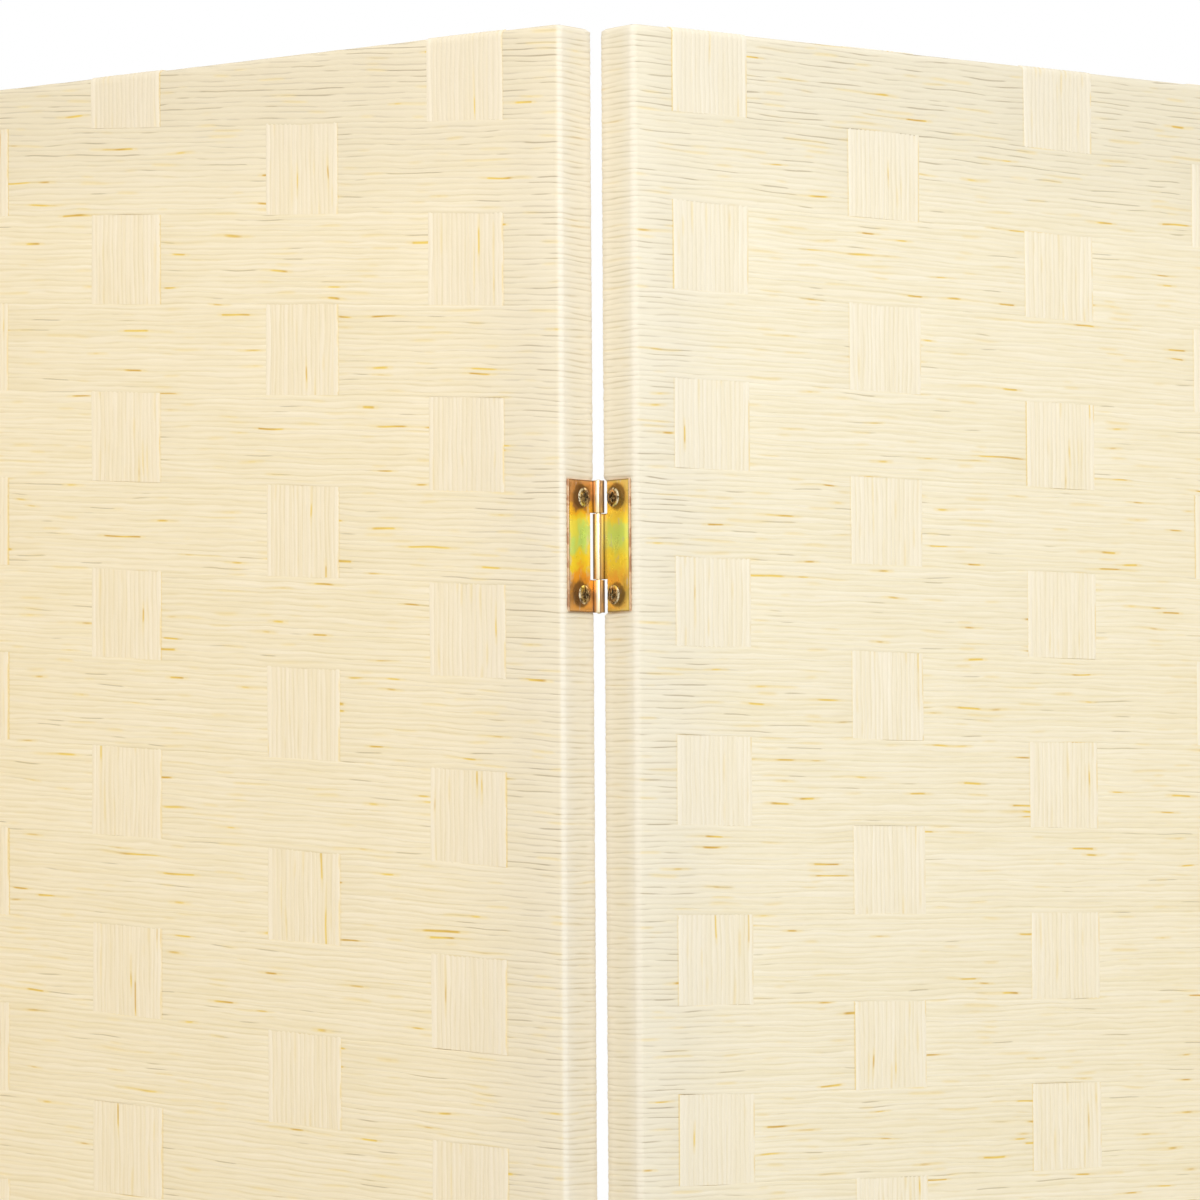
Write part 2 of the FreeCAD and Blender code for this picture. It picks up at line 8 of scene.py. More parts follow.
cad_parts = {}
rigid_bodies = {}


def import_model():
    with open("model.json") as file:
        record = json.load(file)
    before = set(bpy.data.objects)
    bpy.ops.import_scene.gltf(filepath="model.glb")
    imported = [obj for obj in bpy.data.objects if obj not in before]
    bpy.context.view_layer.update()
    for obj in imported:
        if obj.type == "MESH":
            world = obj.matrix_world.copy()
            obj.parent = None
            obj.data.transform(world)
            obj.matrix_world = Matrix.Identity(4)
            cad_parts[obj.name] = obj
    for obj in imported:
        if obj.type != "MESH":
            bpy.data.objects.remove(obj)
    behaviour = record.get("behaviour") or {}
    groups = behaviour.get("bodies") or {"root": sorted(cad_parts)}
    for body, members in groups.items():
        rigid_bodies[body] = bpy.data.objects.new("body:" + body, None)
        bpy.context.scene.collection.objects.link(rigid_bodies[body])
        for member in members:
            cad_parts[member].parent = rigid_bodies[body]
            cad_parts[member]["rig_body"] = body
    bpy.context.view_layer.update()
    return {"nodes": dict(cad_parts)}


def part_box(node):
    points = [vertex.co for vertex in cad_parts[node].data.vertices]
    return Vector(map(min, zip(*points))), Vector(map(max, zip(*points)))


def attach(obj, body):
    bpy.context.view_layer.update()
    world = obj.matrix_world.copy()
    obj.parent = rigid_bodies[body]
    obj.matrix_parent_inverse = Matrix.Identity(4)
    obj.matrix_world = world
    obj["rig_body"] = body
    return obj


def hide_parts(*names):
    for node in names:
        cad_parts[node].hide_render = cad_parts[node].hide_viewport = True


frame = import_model()


# Wood frame: each panel is a ladder of planed pine battens, two stiles with four rails between them,
# glued up on dowels. The weave hides all of it but the feet of the stiles.
PANELS = (1, 2, 3, 4)
PANEL_WIDTH = 0.400
PANEL_DEPTH = 0.018
UPRIGHT_GRAIN = (70, 70, 4)  # clouds of growth to a metre across, through and up a panel
LEVEL_GRAIN = (4, 70, 70)
GROWTH_LINES = 9  # in one cloud
PORES = 9  # to one cloud
PORE_DEPTH = 0.0002


class Wire:
    """A socket of a node tree: sums on wires become Math nodes, and node() adds any other node."""

    def __init__(self, tree, socket=None):
        self.tree = tree
        self.socket = socket

    def node(self, kind, settings=None, sockets=None, out=0):
        made = self.tree.nodes.new(kind)
        for name, setting in (settings or {}).items():
            setattr(made, name, setting)
        for key, given in (sockets or {}).items():
            if isinstance(given, Wire):
                self.tree.links.new(given.socket, made.inputs[key])
            else:
                made.inputs[key].default_value = given
        return Wire(self.tree, made.outputs[out])

    def other(self, out):
        """Another output of the same node."""
        return Wire(self.tree, self.socket.node.outputs[out])

    def maths(self, operation, *terms):
        return self.node("ShaderNodeMath", {"operation": operation}, dict(enumerate(terms)))

    def __add__(self, other):
        return self.maths("ADD", self, other)

    def __sub__(self, other):
        return self.maths("SUBTRACT", self, other)

    def __rsub__(self, other):
        return self.maths("SUBTRACT", other, self)

    def __mul__(self, other):
        return self.maths("MULTIPLY", self, other)

    def __truediv__(self, other):
        return self.maths("DIVIDE", self, other)

    def __mod__(self, other):
        return self.maths("FLOORED_MODULO", self, other)

    def __gt__(self, other):
        return self.maths("GREATER_THAN", self, other)

    def __lt__(self, other):
        return self.maths("LESS_THAN", self, other)

    __radd__ = __add__
    __rmul__ = __mul__

    def at_most(self, limit):
        return self.maths("MINIMUM", self, limit)

    def at_least(self, limit):
        return self.maths("MAXIMUM", self, limit)

    def size(self):
        return self.maths("ABSOLUTE", self)

    def floor(self):
        return self.maths("FLOOR", self)

    def step(self, low, high):
        """0 below low, 1 above high and a smooth rise between."""
        return self.node(
            "ShaderNodeMapRange",
            {"interpolation_type": "SMOOTHSTEP"},
            {"Value": self, "From Min": low, "From Max": high},
        )

    def axes(self):
        parts = self.node("ShaderNodeSeparateXYZ", sockets={"Vector": self})
        return parts, parts.other("Y"), parts.other("Z")

    def vector(self, x, y, z):
        return self.node("ShaderNodeCombineXYZ", sockets={"X": x, "Y": y, "Z": z})

    def noise(self, place, scale=1.0, detail=2.0):
        return self.node(
            "ShaderNodeTexNoise", sockets={"Vector": place, "Scale": scale, "Detail": detail}
        )

    def mix(self, share, first, second, way="MIX"):
        """One colour laid over another by a share."""
        return self.node(
            "ShaderNodeMix",
            {"data_type": "RGBA", "blend_type": way},
            {0: share, 6: first, 7: second},
            out=2,
        )

    def bump(self, height, distance, strength=1.0):
        return self.node(
            "ShaderNodeBump",
            sockets={"Height": height, "Distance": distance, "Strength": strength},
        )


def tone(red, green, blue):
    """A colour as a screen shows it, 0 to 255, in Blender's linear light."""
    parts = [part / 255 for part in (red, green, blue)]
    return (*(p / 12.92 if p < 0.04045 else ((p + 0.055) / 1.055) ** 2.4 for p in parts), 1.0)


def new_finish(name, even_values):
    """A material with one shader, whose even values sit on its own sockets, and a wire in its tree."""
    material = bpy.data.materials.new(name)
    material.use_nodes = True
    shader = material.node_tree.nodes["Principled BSDF"]
    for socket, amount in even_values.items():
        shader.inputs[socket].default_value = amount
    return material, Wire(material.node_tree)


def feed(material, wires):
    shader = material.node_tree.nodes["Principled BSDF"]
    for socket, wire in wires.items():
        material.node_tree.links.new(wire.socket, shader.inputs[socket])
    return material


EARLY_WOOD = tone(226, 201, 156)
LATE_WOOD = tone(211, 180, 130)
GROWTH_LINE = tone(186, 146, 92)
PORE = tone(170, 132, 84)


def pine(name, turn, grain):
    """Planed pine whose grain follows one axis of a panel: pale wood, darker growth lines, fine pores."""
    material, start = new_finish(name, {"Specular IOR Level": 0.3})
    place = start.node("ShaderNodeTexCoord", out="Object")
    turned = start.node("ShaderNodeMapping", sockets={"Vector": place, "Rotation": (0, 0, -turn)})
    scale = start.node("ShaderNodeVectorMath", {"operation": "MULTIPLY"}, {0: turned, 1: grain})
    growth = start.noise(scale, 1.0, 3.0)
    lines = ((growth * GROWTH_LINES) % 1.0 - 0.5).size() * 2
    pores = start.noise(scale, PORES, 2.0)
    plain = start.mix(growth.step(0.3, 0.7), EARLY_WOOD, LATE_WOOD)
    lined = start.mix(lines.step(0.75, 1.0) * 0.5, plain, GROWTH_LINE)
    return feed(
        material,
        {
            "Base Color": start.mix(pores.step(0.55, 0.75) * 0.25, lined, PORE),
            "Roughness": 0.5 + pores * 0.25,
            "Normal": start.bump(pores + lines * 0.3, PORE_DEPTH, 0.4),
        },
    )


def panel_place(panel):
    """The floor corner of a panel at its lower left front and the turn of its width, from its stiles."""
    left, right = (
        sum(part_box(f"panel_{panel}_{side}_stile"), Vector()) / 2 for side in ("left", "right")
    )
    turn = math.atan2(right.y - left.y, right.x - left.x)
    inset = (PANEL_WIDTH - (right - left).length) / 2
    corner = left.xy - Matrix.Rotation(turn, 2) @ Vector((inset, PANEL_DEPTH / 2))
    return Vector((corner.x, corner.y, 0)), turn


for panel in PANELS:
    turn = panel_place(panel)[1]
    upright_pine = pine(f"upright_pine_{panel}", turn, UPRIGHT_GRAIN)
    level_pine = pine(f"level_pine_{panel}", turn, LEVEL_GRAIN)
    for piece in ("left_stile", "right_stile", "top_rail", "middle_rails", "bottom_rail", "dowels"):
        wood = upright_pine if piece.endswith("stile") else level_pine
        frame["nodes"][f"panel_{panel}_{piece}"].data.materials.clear()
        frame["nodes"][f"panel_{panel}_{piece}"].data.materials.append(wood)


# Level bands of the weave: sixteen cords of twisted kraft paper side by side, wound round both stiles.
# They dip under the upright bands at every other crossing, and the last ones fold over the rails.
CORDS = 16  # in a band
STEPS = 2  # points across one cord: the groove beside it and its crown
LAST_STEP = CORDS * STEPS  # the groove beyond the last cord
CLOSING_STEP = LAST_STEP + 3  # after two points on the flat inside, back at the first groove
WALL = 0.0015  # stile to the outside of the cover
CORNER = 0.0020  # radius of a band round the edge of a stile
PIN_CORNER = 0.0006  # beside a hinge pin, where the band is drawn tight
GROOVE = 0.00009  # depth between two cords
BULGE = 0.00006  # of the crowns past the wall
INNER = 0.0001  # stile to the flat inside of a band
RISE = 0.00006  # of a band that passes over an upright one
DIP = 0.00036  # of a band that passes under an upright one
WARP_WIDTH = 0.033  # of an upright band
SLOPE_OUT = 0.0002  # outside the edge of an upright band, where the dip starts
SLOPE_IN = 0.0020  # inside that edge, where the dip is full
WIDEST_STEP = 0.022  # between two stations along a band
SWAY = 0.0022  # of a cord, up and down
SWAY_PACE = 22  # waves to a metre
SWAY_SPREAD = 0.45  # how far a cord's sway differs from that of the next
PUFF = 0.0003  # of a cord, in and out
PUFF_PACE = 40
PUFF_SPREAD = 0.8
WEAVE_SEED = 31.7  # times the number of the panel
WEAVE_TOP = 1.6997
WEAVE_BOTTOM = 0.0363
FOLD_ROUND = 0.0006  # radius of the rails' edges under the cover
FOLD_REACH = 0.0089  # furthest that a band lies across a rail
FOLD_FLATTEN = 0.6  # share of its thickness that a band loses in the bend
SEAT_PRESS = 0.0007  # of the cover under a hinge leaf
SEAT_HALF = 0.0226  # half the height of that seat
SEAT_REACH = 0.0153  # pin to the far side of that seat
SEAM = 1e-7  # points as close as this become one
CRISP_BEND = math.radians(50)  # past which an edge is shaded sharp
EDGE_STOPS = (0.0030, 0.0036, 0.0144, 0.0150)  # from the front, on either side of where a leaf may end
HINGE_HEIGHTS = [
    sum(corner.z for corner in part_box(f"fold_23_{level}_leaf_2")) / 2
    for level in ("bottom", "middle", "top")
]
# How each panel was woven: the height of its first band at the left edge, the drop from one band to
# the next, how far the bands slope along the panel, the side of the upright bands on which the cords
# gape more (1 right, -1 left), and the middles of the upright bands.
WEAVES = {
    1: {"top": 1.7060, "pitch": 0.03140, "slope": 0.012, "gape": -1},
    2: {"top": 1.7267, "pitch": 0.03189, "slope": 0.0675, "gape": 1},
    3: {"top": 1.7023, "pitch": 0.03047, "slope": 0.0045, "gape": -1},
    4: {"top": 1.7090, "pitch": 0.03120, "slope": 0.020, "gape": 1},
}
COLUMNS = {
    1: (0.037, 0.119, 0.203, 0.283, 0.361),
    2: (0.046, 0.128, 0.2023, 0.2853, 0.3590),
    3: (0.0335, 0.1125, 0.196, 0.2795, 0.361),
    4: (0.040, 0.118, 0.200, 0.281, 0.364),
}
# Paper colours, as tone takes them: on the faces of each panel, where they differ from panel to panel partly
# as painted light, and on its two edges, which are painted light and shade, lighter or darker than the faces
# by how light falls on each edge.
PAPERS = {1: (244, 231, 200), 2: (242, 229, 198), 3: (245, 236, 210), 4: (245, 234, 205)}
PAINTED_LIGHT_EDGE_PAPERS = {1: (245, 236, 212), 2: (245, 238, 219), 3: (237, 225, 199), 4: (244, 235, 209)}
BAND_LAP = 0.004  # of a cord, by which each band reaches into the next
# Changes to a paper colour, in levels of red, green and blue.
DARK_PLY = (-4, -6, -12)
LIGHT_PLY = (4, 5, 10)
# Painted shade in the grooves between cords, partly the paper's own darker tan; the same on the edges.
GROOVE_SHADE_AND_TONE = (-15, -20, -34)
EDGE_GROOVE_SHADE_AND_TONE = (-38, -44, -52)
# Painted shade towards the edges and the top of a panel.
PAINTED_BRINK_SHADE = (-10, -8, -1)
PAINTED_TOP_SHADE = (-13, -13, -12)
STAIN = tone(240, 216, 150)
PALE_OCHRE = tone(236, 202, 84)
DEEP_OCHRE = tone(206, 158, 40)
# Painted shade in the gaps between cords: grey lines, and deep brown dashes.
PAINTED_GAP_SHADE = tone(190, 176, 154)
PAINTED_DEEP_GAP_SHADE = tone(146, 126, 90)
TUCK = tone(234, 202, 104)
# A painted highlight along the corners of a panel.
PAINTED_CORNER_HIGHLIGHT = tone(249, 243, 230)
BRINK = (0.003, 0.055)  # from an edge of a panel, where its shade fades out
TOP_BANDS = (0.5, 2.3)  # bands from the first, where the shade by the top fades out
BESIDE = 0.022  # from an upright band, as far as the cords gape more
TUCKED = (0.0002, 0.0009)  # from an upright band, where yellow shows under it
TURNED = (0.0003, 0.0016)  # from the side of a panel, where its edge passes into its face
CORNER_HIGHLIGHT_REACH = (0.001, 0.0075)  # from the face of a panel, where the painted highlight on its corner fades out
SLIT = (0.668, 0.711)  # how far two cords gape where ochre shows between them
RELIEF = 0.4
TWIST_PACE = 900  # waves of the twist to a metre
TWIST_DEPTH = 0.00022
PAPER_SHINE = {"Specular IOR Level": 0.25}


class Cords:
    """Wires that tell where a point lies on the cords of a cover, and how they lie there."""

    def __init__(self, start, seed):
        self.start = start
        self.seed = seed
        place = start.node("ShaderNodeAttribute", {"attribute_name": "cord"}, out="Vector")
        self.along, self.through, self.tally = place.axes()
        self.cord = self.tally + (self.strands(46, self.tally * 0.3, seed) - 0.5) * 0.9
        self.number = self.cord.floor()
        self.parting = (self.cord + 0.5).floor()
        self.groove = (self.cord - self.number - 0.5).size() * 2
        self.tight = self.strands(75, self.parting * 3.1, seed)
        self.gape = self.strands(42, self.parting * 5.7, -seed)
        # Where painted shade lies in the grooves between cords, stronger where they lie tight.
        self.line = self.groove.step(0.5, 1.0) * (0.15 + self.tight.step(0.4, 0.62) * 0.85)

    def strands(self, pace, number, shift):
        """Noise with so many waves to a metre along the cords, which differs from one to the next."""
        spot = self.start.vector(self.along * pace, self.through * pace, number + shift)
        return self.start.noise(spot, 1.0, 1.0)

    def ochre(self):
        """The colour in a slit, deeper where the cords lie tight."""
        return self.start.mix(self.tight.step(0.4, 0.65), PALE_OCHRE, DEEP_OCHRE)


def shaded(paper, change):
    return tone(*(level + more for level, more in zip(paper, change)))


def plain_cord(cords, paper):
    """The colour of whole cord: every cord and ply its own tone, with faint lines between cords that are
    painted groove shade, partly the paper's own darker tan.
    """
    start = cords.start
    spot = start.vector(cords.number, cords.seed, 0)
    shade = start.node("ShaderNodeTexWhiteNoise", {"noise_dimensions": "2D"}, {"Vector": spot})
    drift = cords.strands(12, cords.number * 2.3, cords.seed)
    ply = cords.strands(30, cords.cord * 2.8, -cords.seed)
    light = shade * 0.25 + drift.step(0.3, 0.7) * 0.25 + ply.step(0.3, 0.7) * 0.5
    colour = start.mix(light, shaded(paper, DARK_PLY), shaded(paper, LIGHT_PLY))
    return start.mix(cords.line * RELIEF, colour, shaded(paper, GROOVE_SHADE_AND_TONE))


def papery(material, cords, colour):
    """Feeds a paper cord's colour to its material, with the dull, finely twisted surface of paper."""
    start = cords.start
    spot = start.vector(
        cords.along * TWIST_PACE + cords.cord * 2.0, cords.through * TWIST_PACE, cords.cord * 3
    )
    twist = start.noise(spot, 1.0, 2.0)
    height = twist * 0.35 - cords.groove * cords.groove
    return feed(
        material,
        {
            "Base Color": colour,
            "Roughness": 0.62 + twist * 0.2,
            "Normal": start.bump(height, TWIST_DEPTH, RELIEF),
        },
    )


def by_uprights(cords, band, panel):
    """How near a point is to an upright band that shows, and 1 where a level band tucks under one."""
    beside = 0
    tuck = 0
    for column, middle in enumerate(COLUMNS[panel]):
        across = cords.along - middle
        away = across.size() - WARP_WIDTH / 2
        window = 1 - (band + column) % 2
        open_side = across * WEAVES[panel]["gape"] > 0
        beside = window * (0.35 + open_side * 0.65) * (1 - away.step(0.0, BESIDE)) + beside
        tuck = window * open_side * (1 - away.step(*TUCKED)) + tuck
    return beside, tuck


def level_cord(panel):
    """Cream paper cord: greyer by the edges and the top with painted shade, painted shade in gaps between
    cords, ochre slits by the upright bands, and painted light and a painted highlight on the edges.
    """
    material, start = new_finish(f"level_cord_{panel}", PAPER_SHINE)
    cords = Cords(start, panel * 3.3)
    paper = PAPERS[panel]
    colour = plain_cord(cords, paper)
    from_side = cords.along.at_most(PANEL_WIDTH - cords.along)
    from_face = cords.through.at_most(PANEL_DEPTH - cords.through)
    upper = 1 - (cords.tally / CORDS).step(*TOP_BANDS)
    # Painted shade towards the edges and the top of the panel.
    near = (1 - (from_side + from_face).step(*BRINK)).at_least(upper * 0.9)
    colour = start.mix(near * 0.64, colour, shaded(paper, PAINTED_BRINK_SHADE))
    colour = start.mix(upper * 0.4, colour, shaded(paper, PAINTED_TOP_SHADE))
    # Painted shade in gaps between cords, more of it near the edges and the top.
    gap_shade_spots = cords.strands(60, cords.parting * 4.3, cords.seed)
    gap_shade = cords.groove.step(0.6, 1.0) * near * gap_shade_spots.step(0.46, 0.6)
    colour = start.mix(gap_shade * 0.45, colour, PAINTED_GAP_SHADE)
    gap = cords.strands(34, cords.parting * 6.1, cords.seed * 2) + near * 0.06 + upper * 0.05
    deep_gap_shade = cords.groove.step(0.7, 1.0) * gap.step(0.64, 0.70)
    colour = start.mix(deep_gap_shade * 0.5, colour, PAINTED_DEEP_GAP_SHADE)
    band = (cords.tally / CORDS).floor()
    beside, tuck = by_uprights(cords, band, panel)
    stain = cords.groove.step(0.2, 0.8) * cords.gape.step(0.57, 0.66)
    colour = start.mix(stain * 0.4, colour, STAIN)
    slit = cords.groove.step(0.5, 0.9) * (cords.gape + beside * 0.05 - near * 0.03).step(*SLIT)
    colour = start.mix(slit * 0.85, colour, cords.ochre())
    loose = start.noise(start.vector(cords.along * 12, band * 1.7, cords.seed), 1.0, 0.0)
    colour = start.mix(tuck * (0.15 + loose.step(0.50, 0.62) * 0.45), colour, TUCK)
    # The edges: their own paper colour with painted light and shade, painted groove shade, and a painted
    # highlight along the corner.
    side = 1 - from_side.step(*TURNED)
    colour = start.mix(side * 0.6, colour, tone(*PAINTED_LIGHT_EDGE_PAPERS[panel]))
    colour = start.mix(side * cords.line * 0.5, colour, shaded(paper, EDGE_GROOVE_SHADE_AND_TONE))
    painted_highlight = side * (1 - from_face.step(*CORNER_HIGHLIGHT_REACH))
    colour = start.mix(painted_highlight * 0.32, colour, PAINTED_CORNER_HIGHLIGHT)
    return papery(material, cords, colour)


def line_mesh(name, loops, attributes):
    """Open lines of stations, each a place and the numbers that the weave reads there."""
    places = [spot["place"] for loop in loops for spot in loop]
    edges = []
    first = 0
    for loop in loops:
        edges += [(k, k + 1) for k in range(first, first + len(loop) - 1)]
        first += len(loop)
    mesh = bpy.data.meshes.new(name)
    mesh.from_pydata(places, edges, [])
    for label, kind in attributes.items():
        layer = mesh.attributes.new(label, kind, "POINT")
        field = "vector" if kind == "FLOAT_VECTOR" else "value"
        flat = []
        for loop in loops:
            for spot in loop:
                flat += spot[label] if kind == "FLOAT_VECTOR" else [spot[label]]
        layer.data.foreach_set(field, flat)
    return mesh


def station(x, y, out, column=0, crossing=0):
    return {"place": (x, y, 0), "out": (*out, 0), "column": column, "crossing": crossing}


def filled(stops):
    """More stations between two that stand far apart, so that the cords can wander."""
    for here, there in zip(stops, stops[1:]):
        yield here
        extra = int((there[0] - here[0]) / WIDEST_STEP)
        for number in range(1, extra + 1):
            yield here[0] + (there[0] - here[0]) * number / (extra + 1), here[1], here[2]


def band_line(columns, pins):
    """One level band's way round a panel, anticlockwise from its left edge."""
    half = WARP_WIDTH / 2
    outside, inside = half + SLOPE_OUT, half - SLOPE_IN
    dip = ((-outside, 0), (-inside, 1), (inside, 1), (outside, 0))
    stops = [(CORNER, 0, 0)]
    for column, middle in enumerate(columns):
        stops += [(middle + reach, column, crossing) for reach, crossing in dip]
    face = list(filled([*stops, (PANEL_WIDTH - CORNER, 0, 0)]))[1:]

    def round_corner(right, back, start):
        tight = abs(pins[right] - back * PANEL_DEPTH) < CORNER
        radius = PIN_CORNER if tight else CORNER
        x = PANEL_WIDTH - radius if right else radius
        y = PANEL_DEPTH - radius if back else radius
        for turn in (start, start + 45, start + 90):
            bend = math.radians(turn)
            place = (x + radius * math.cos(bend), y + radius * math.sin(bend))
            yield station(*place, (right * 2 - 1, back * 2 - 1))

    left_edge = [station(0, y, (-1, 0)) for y in reversed(EDGE_STOPS)]
    line = left_edge[2:]
    line += round_corner(0, 0, 180)
    line += [station(x, 0, (0, -1), column, crossing) for x, column, crossing in face]
    line += round_corner(1, 0, 270)
    line += [station(PANEL_WIDTH, y, (1, 0)) for y in EDGE_STOPS]
    line += round_corner(1, 1, 0)
    line += [
        station(x, PANEL_DEPTH, (0, 1), column, crossing) for x, column, crossing in reversed(face)
    ]
    line += round_corner(0, 1, 90)
    line += [dict(spot) for spot in left_edge[:3]]
    for index, spot in enumerate(line):
        spot["turn"] = index / (len(line) - 1)
    return line


def new_tree(name, inputs):
    """A geometry tree and the wires of its named inputs."""
    tree = bpy.data.node_groups.new(name, "GeometryNodeTree")
    for label, kind in inputs.items():
        tree.interface.new_socket(label, in_out="INPUT", socket_type=f"NodeSocket{kind}")
    tree.interface.new_socket("Cover", in_out="OUTPUT", socket_type="NodeSocketGeometry")
    entry = tree.nodes.new("NodeGroupInput")
    return tree, {label: Wire(tree, entry.outputs[label]) for label in inputs}


def stored(thing, name, kind, value, domain="POINT"):
    return thing.node(
        "GeometryNodeStoreNamedAttribute",
        {"data_type": kind, "domain": domain},
        {"Geometry": thing, "Name": name, "Value": value},
    )


def named(start, name, kind="FLOAT"):
    return start.node("GeometryNodeInputNamedAttribute", {"data_type": kind}, {"Name": name})


def cord_section(start):
    """Points across a band of cords: a groove and a crown for each cord, then the flat inside."""
    points = start.node(
        "GeometryNodeMeshLine", sockets={"Count": CLOSING_STEP + 1, "Offset": (0.001, 0, 0)}
    )
    marked = stored(points, "step", "FLOAT", start.node("GeometryNodeInputIndex"))
    return start.node("GeometryNodeMeshToCurve", sockets={"Mesh": marked})


def across_band(step):
    """From a section point: which cord it is at, 1 on a crown, and 1 on the flat inside."""
    outer = step < LAST_STEP + 0.5
    cord = outer * step / STEPS + (1 - outer) * (step < LAST_STEP + 1.5) * CORDS
    crown = outer * (step % STEPS)
    inside = (1 - outer) * (step < LAST_STEP + 2.5)
    return cord, crown, inside


def laid(start, place, out, height, depth, flatten):
    """A point of the cover at a height and a depth off the stiles, folded over the top and bottom rails."""
    top = height - (WEAVE_TOP - FOLD_ROUND)
    bottom = (WEAVE_BOTTOM + FOLD_ROUND) - height
    middle_round = FOLD_ROUND + WALL / 2
    quarter = math.pi / 2
    bend_top = (top / middle_round).at_least(0).at_most(quarter)
    bend_bottom = (bottom / middle_round).at_least(0).at_most(quarter)
    bend = bend_top + bend_bottom
    past = top.at_least(bottom) - middle_round * quarter
    pulled = (1 - start.maths("EXPONENT", past.at_least(0) * (-1 / FOLD_REACH))) * FOLD_REACH
    flat = depth * (1 - start.maths("SINE", bend) * flatten)
    reach = flat + FOLD_ROUND
    outward = reach * start.maths("COSINE", bend) - (WALL + FOLD_ROUND) - pulled
    level = height.at_least(WEAVE_BOTTOM + FOLD_ROUND).at_most(WEAVE_TOP - FOLD_ROUND)
    upward = reach * (start.maths("SINE", bend_top) - start.maths("SINE", bend_bottom))
    shift = start.node("ShaderNodeVectorMath", {"operation": "SCALE"}, {0: out, "Scale": outward})
    moved = start.node("ShaderNodeVectorMath", {"operation": "ADD"}, {0: place, 1: shift})
    x, y, _ = moved.axes()
    return start.vector(x, y, level + upward)


def finished(tree, cover, inputs):
    """Closes the seams, stands the cover with its panel and gives it its finish."""
    closed = cover.node("GeometryNodeMergeByDistance", sockets={"Geometry": cover, "Distance": SEAM})
    stood = cover.node(
        "GeometryNodeTransform",
        sockets={"Geometry": closed, "Translation": inputs["Place"], "Rotation": inputs["Turn"]},
    )
    smooth = cover.node("GeometryNodeSetShadeSmooth", sockets={"Geometry": stood})
    bend = cover.node("GeometryNodeInputMeshEdgeAngle")
    crisp = cover.node(
        "GeometryNodeSetShadeSmooth",
        {"domain": "EDGE"},
        {"Geometry": smooth, "Selection": bend > CRISP_BEND, "Shade Smooth": False},
    )
    real = cover.node("GeometryNodeRealizeInstances", sockets={"Geometry": crisp})
    done = cover.node(
        "GeometryNodeSetMaterial", sockets={"Geometry": real, "Material": inputs["Finish"]}
    )
    exit_node = tree.nodes.new("NodeGroupOutput")
    tree.links.new(done.socket, exit_node.inputs[0])
    return tree


WEAVE_INPUTS = {
    "Line": "Geometry",
    "Top": "Float",
    "Pitch": "Float",
    "Slope": "Float",
    "Seed": "Float",
    "Place": "Vector",
    "Turn": "Rotation",
    "Finish": "Material",
}


def level_band_tree():
    """Copies one band's line for every band of a piece and lays cords along them."""
    tree, inputs = new_tree(
        "level_bands",
        {**WEAVE_INPUTS, "First Band": "Int", "Bands": "Int", "Left Pin": "Float", "Right Pin": "Float"},
    )
    start = inputs["Line"]
    curve = start.node("GeometryNodeMeshToCurve", sockets={"Mesh": start})
    stack = start.node(
        "GeometryNodeMeshLine",
        sockets={
            "Count": inputs["Bands"],
            "Start Location": start.vector(0, 0, inputs["First Band"]),
            "Offset": (0, 0, 1),
        },
    )
    copies = start.node("GeometryNodeInstanceOnPoints", sockets={"Points": stack, "Instance": curve})
    lines = start.node("GeometryNodeRealizeInstances", sockets={"Geometry": copies})
    where = start.node("GeometryNodeInputPosition")
    x, y, band = where.axes()
    lines = stored(lines, "band", "FLOAT", band)
    lines = stored(lines, "base", "FLOAT_VECTOR", start.vector(x, y, 0))
    cover = start.node(
        "GeometryNodeCurveToMesh", sockets={"Curve": lines, "Profile Curve": cord_section(start)}
    )
    band = named(start, "band")
    base = named(start, "base", "FLOAT_VECTOR")
    out = named(start, "out", "FLOAT_VECTOR")
    crossing = named(start, "crossing")
    cord, crown, inside = across_band(named(start, "step"))
    x, y, _ = base.axes()
    tally = band * CORDS + cord * (1 + BAND_LAP * 2 / CORDS) - BAND_LAP
    seed = inputs["Seed"]
    sway_spot = start.vector(x * SWAY_PACE, y * SWAY_PACE, tally * SWAY_SPREAD + seed)
    puff_spot = start.vector(x * PUFF_PACE, y * PUFF_PACE, tally * PUFF_SPREAD - seed)
    sway = (start.noise(sway_spot, 1.0, 1.0) - 0.5) * SWAY
    puff = (start.noise(puff_spot, 1.0, 1.0) - 0.5) * PUFF
    height = inputs["Top"] - inputs["Pitch"] * tally / CORDS - inputs["Slope"] * x + sway
    on_top = (band + named(start, "column")) % 2
    depth = WALL + BULGE - (1 - crown) * GROOVE + puff
    depth = depth + crossing * on_top * RISE - crossing * (1 - on_top) * DIP
    seat = 0
    for level in HINGE_HEIGHTS:
        seat = ((height - level).size() < SEAT_HALF) + seat
    left = (x < CORNER) * ((y - inputs["Left Pin"]).size() < SEAT_REACH)
    right = (x > PANEL_WIDTH - CORNER) * ((y - inputs["Right Pin"]).size() < SEAT_REACH)
    depth = depth - seat * (left + right) * SEAT_PRESS
    depth = depth * (1 - inside) + inside * INNER
    cover = start.node(
        "GeometryNodeSetPosition",
        sockets={"Geometry": cover, "Position": laid(start, base, out, height, depth, FOLD_FLATTEN)},
    )
    cover = stored(cover, "cord", "FLOAT_VECTOR", start.vector(x, y, tally))
    row = (band - inputs["First Band"] + named(start, "step") / CLOSING_STEP) / inputs["Bands"]
    cover = stored(cover, "OFBake", "FLOAT2", start.vector(named(start, "turn"), row, 0), "CORNER")
    return finished(tree, cover, inputs)


WORKING_LAYERS = (
    "band", "base", "out", "crossing", "column", "step", "turn", "row", "side", "lift"
)


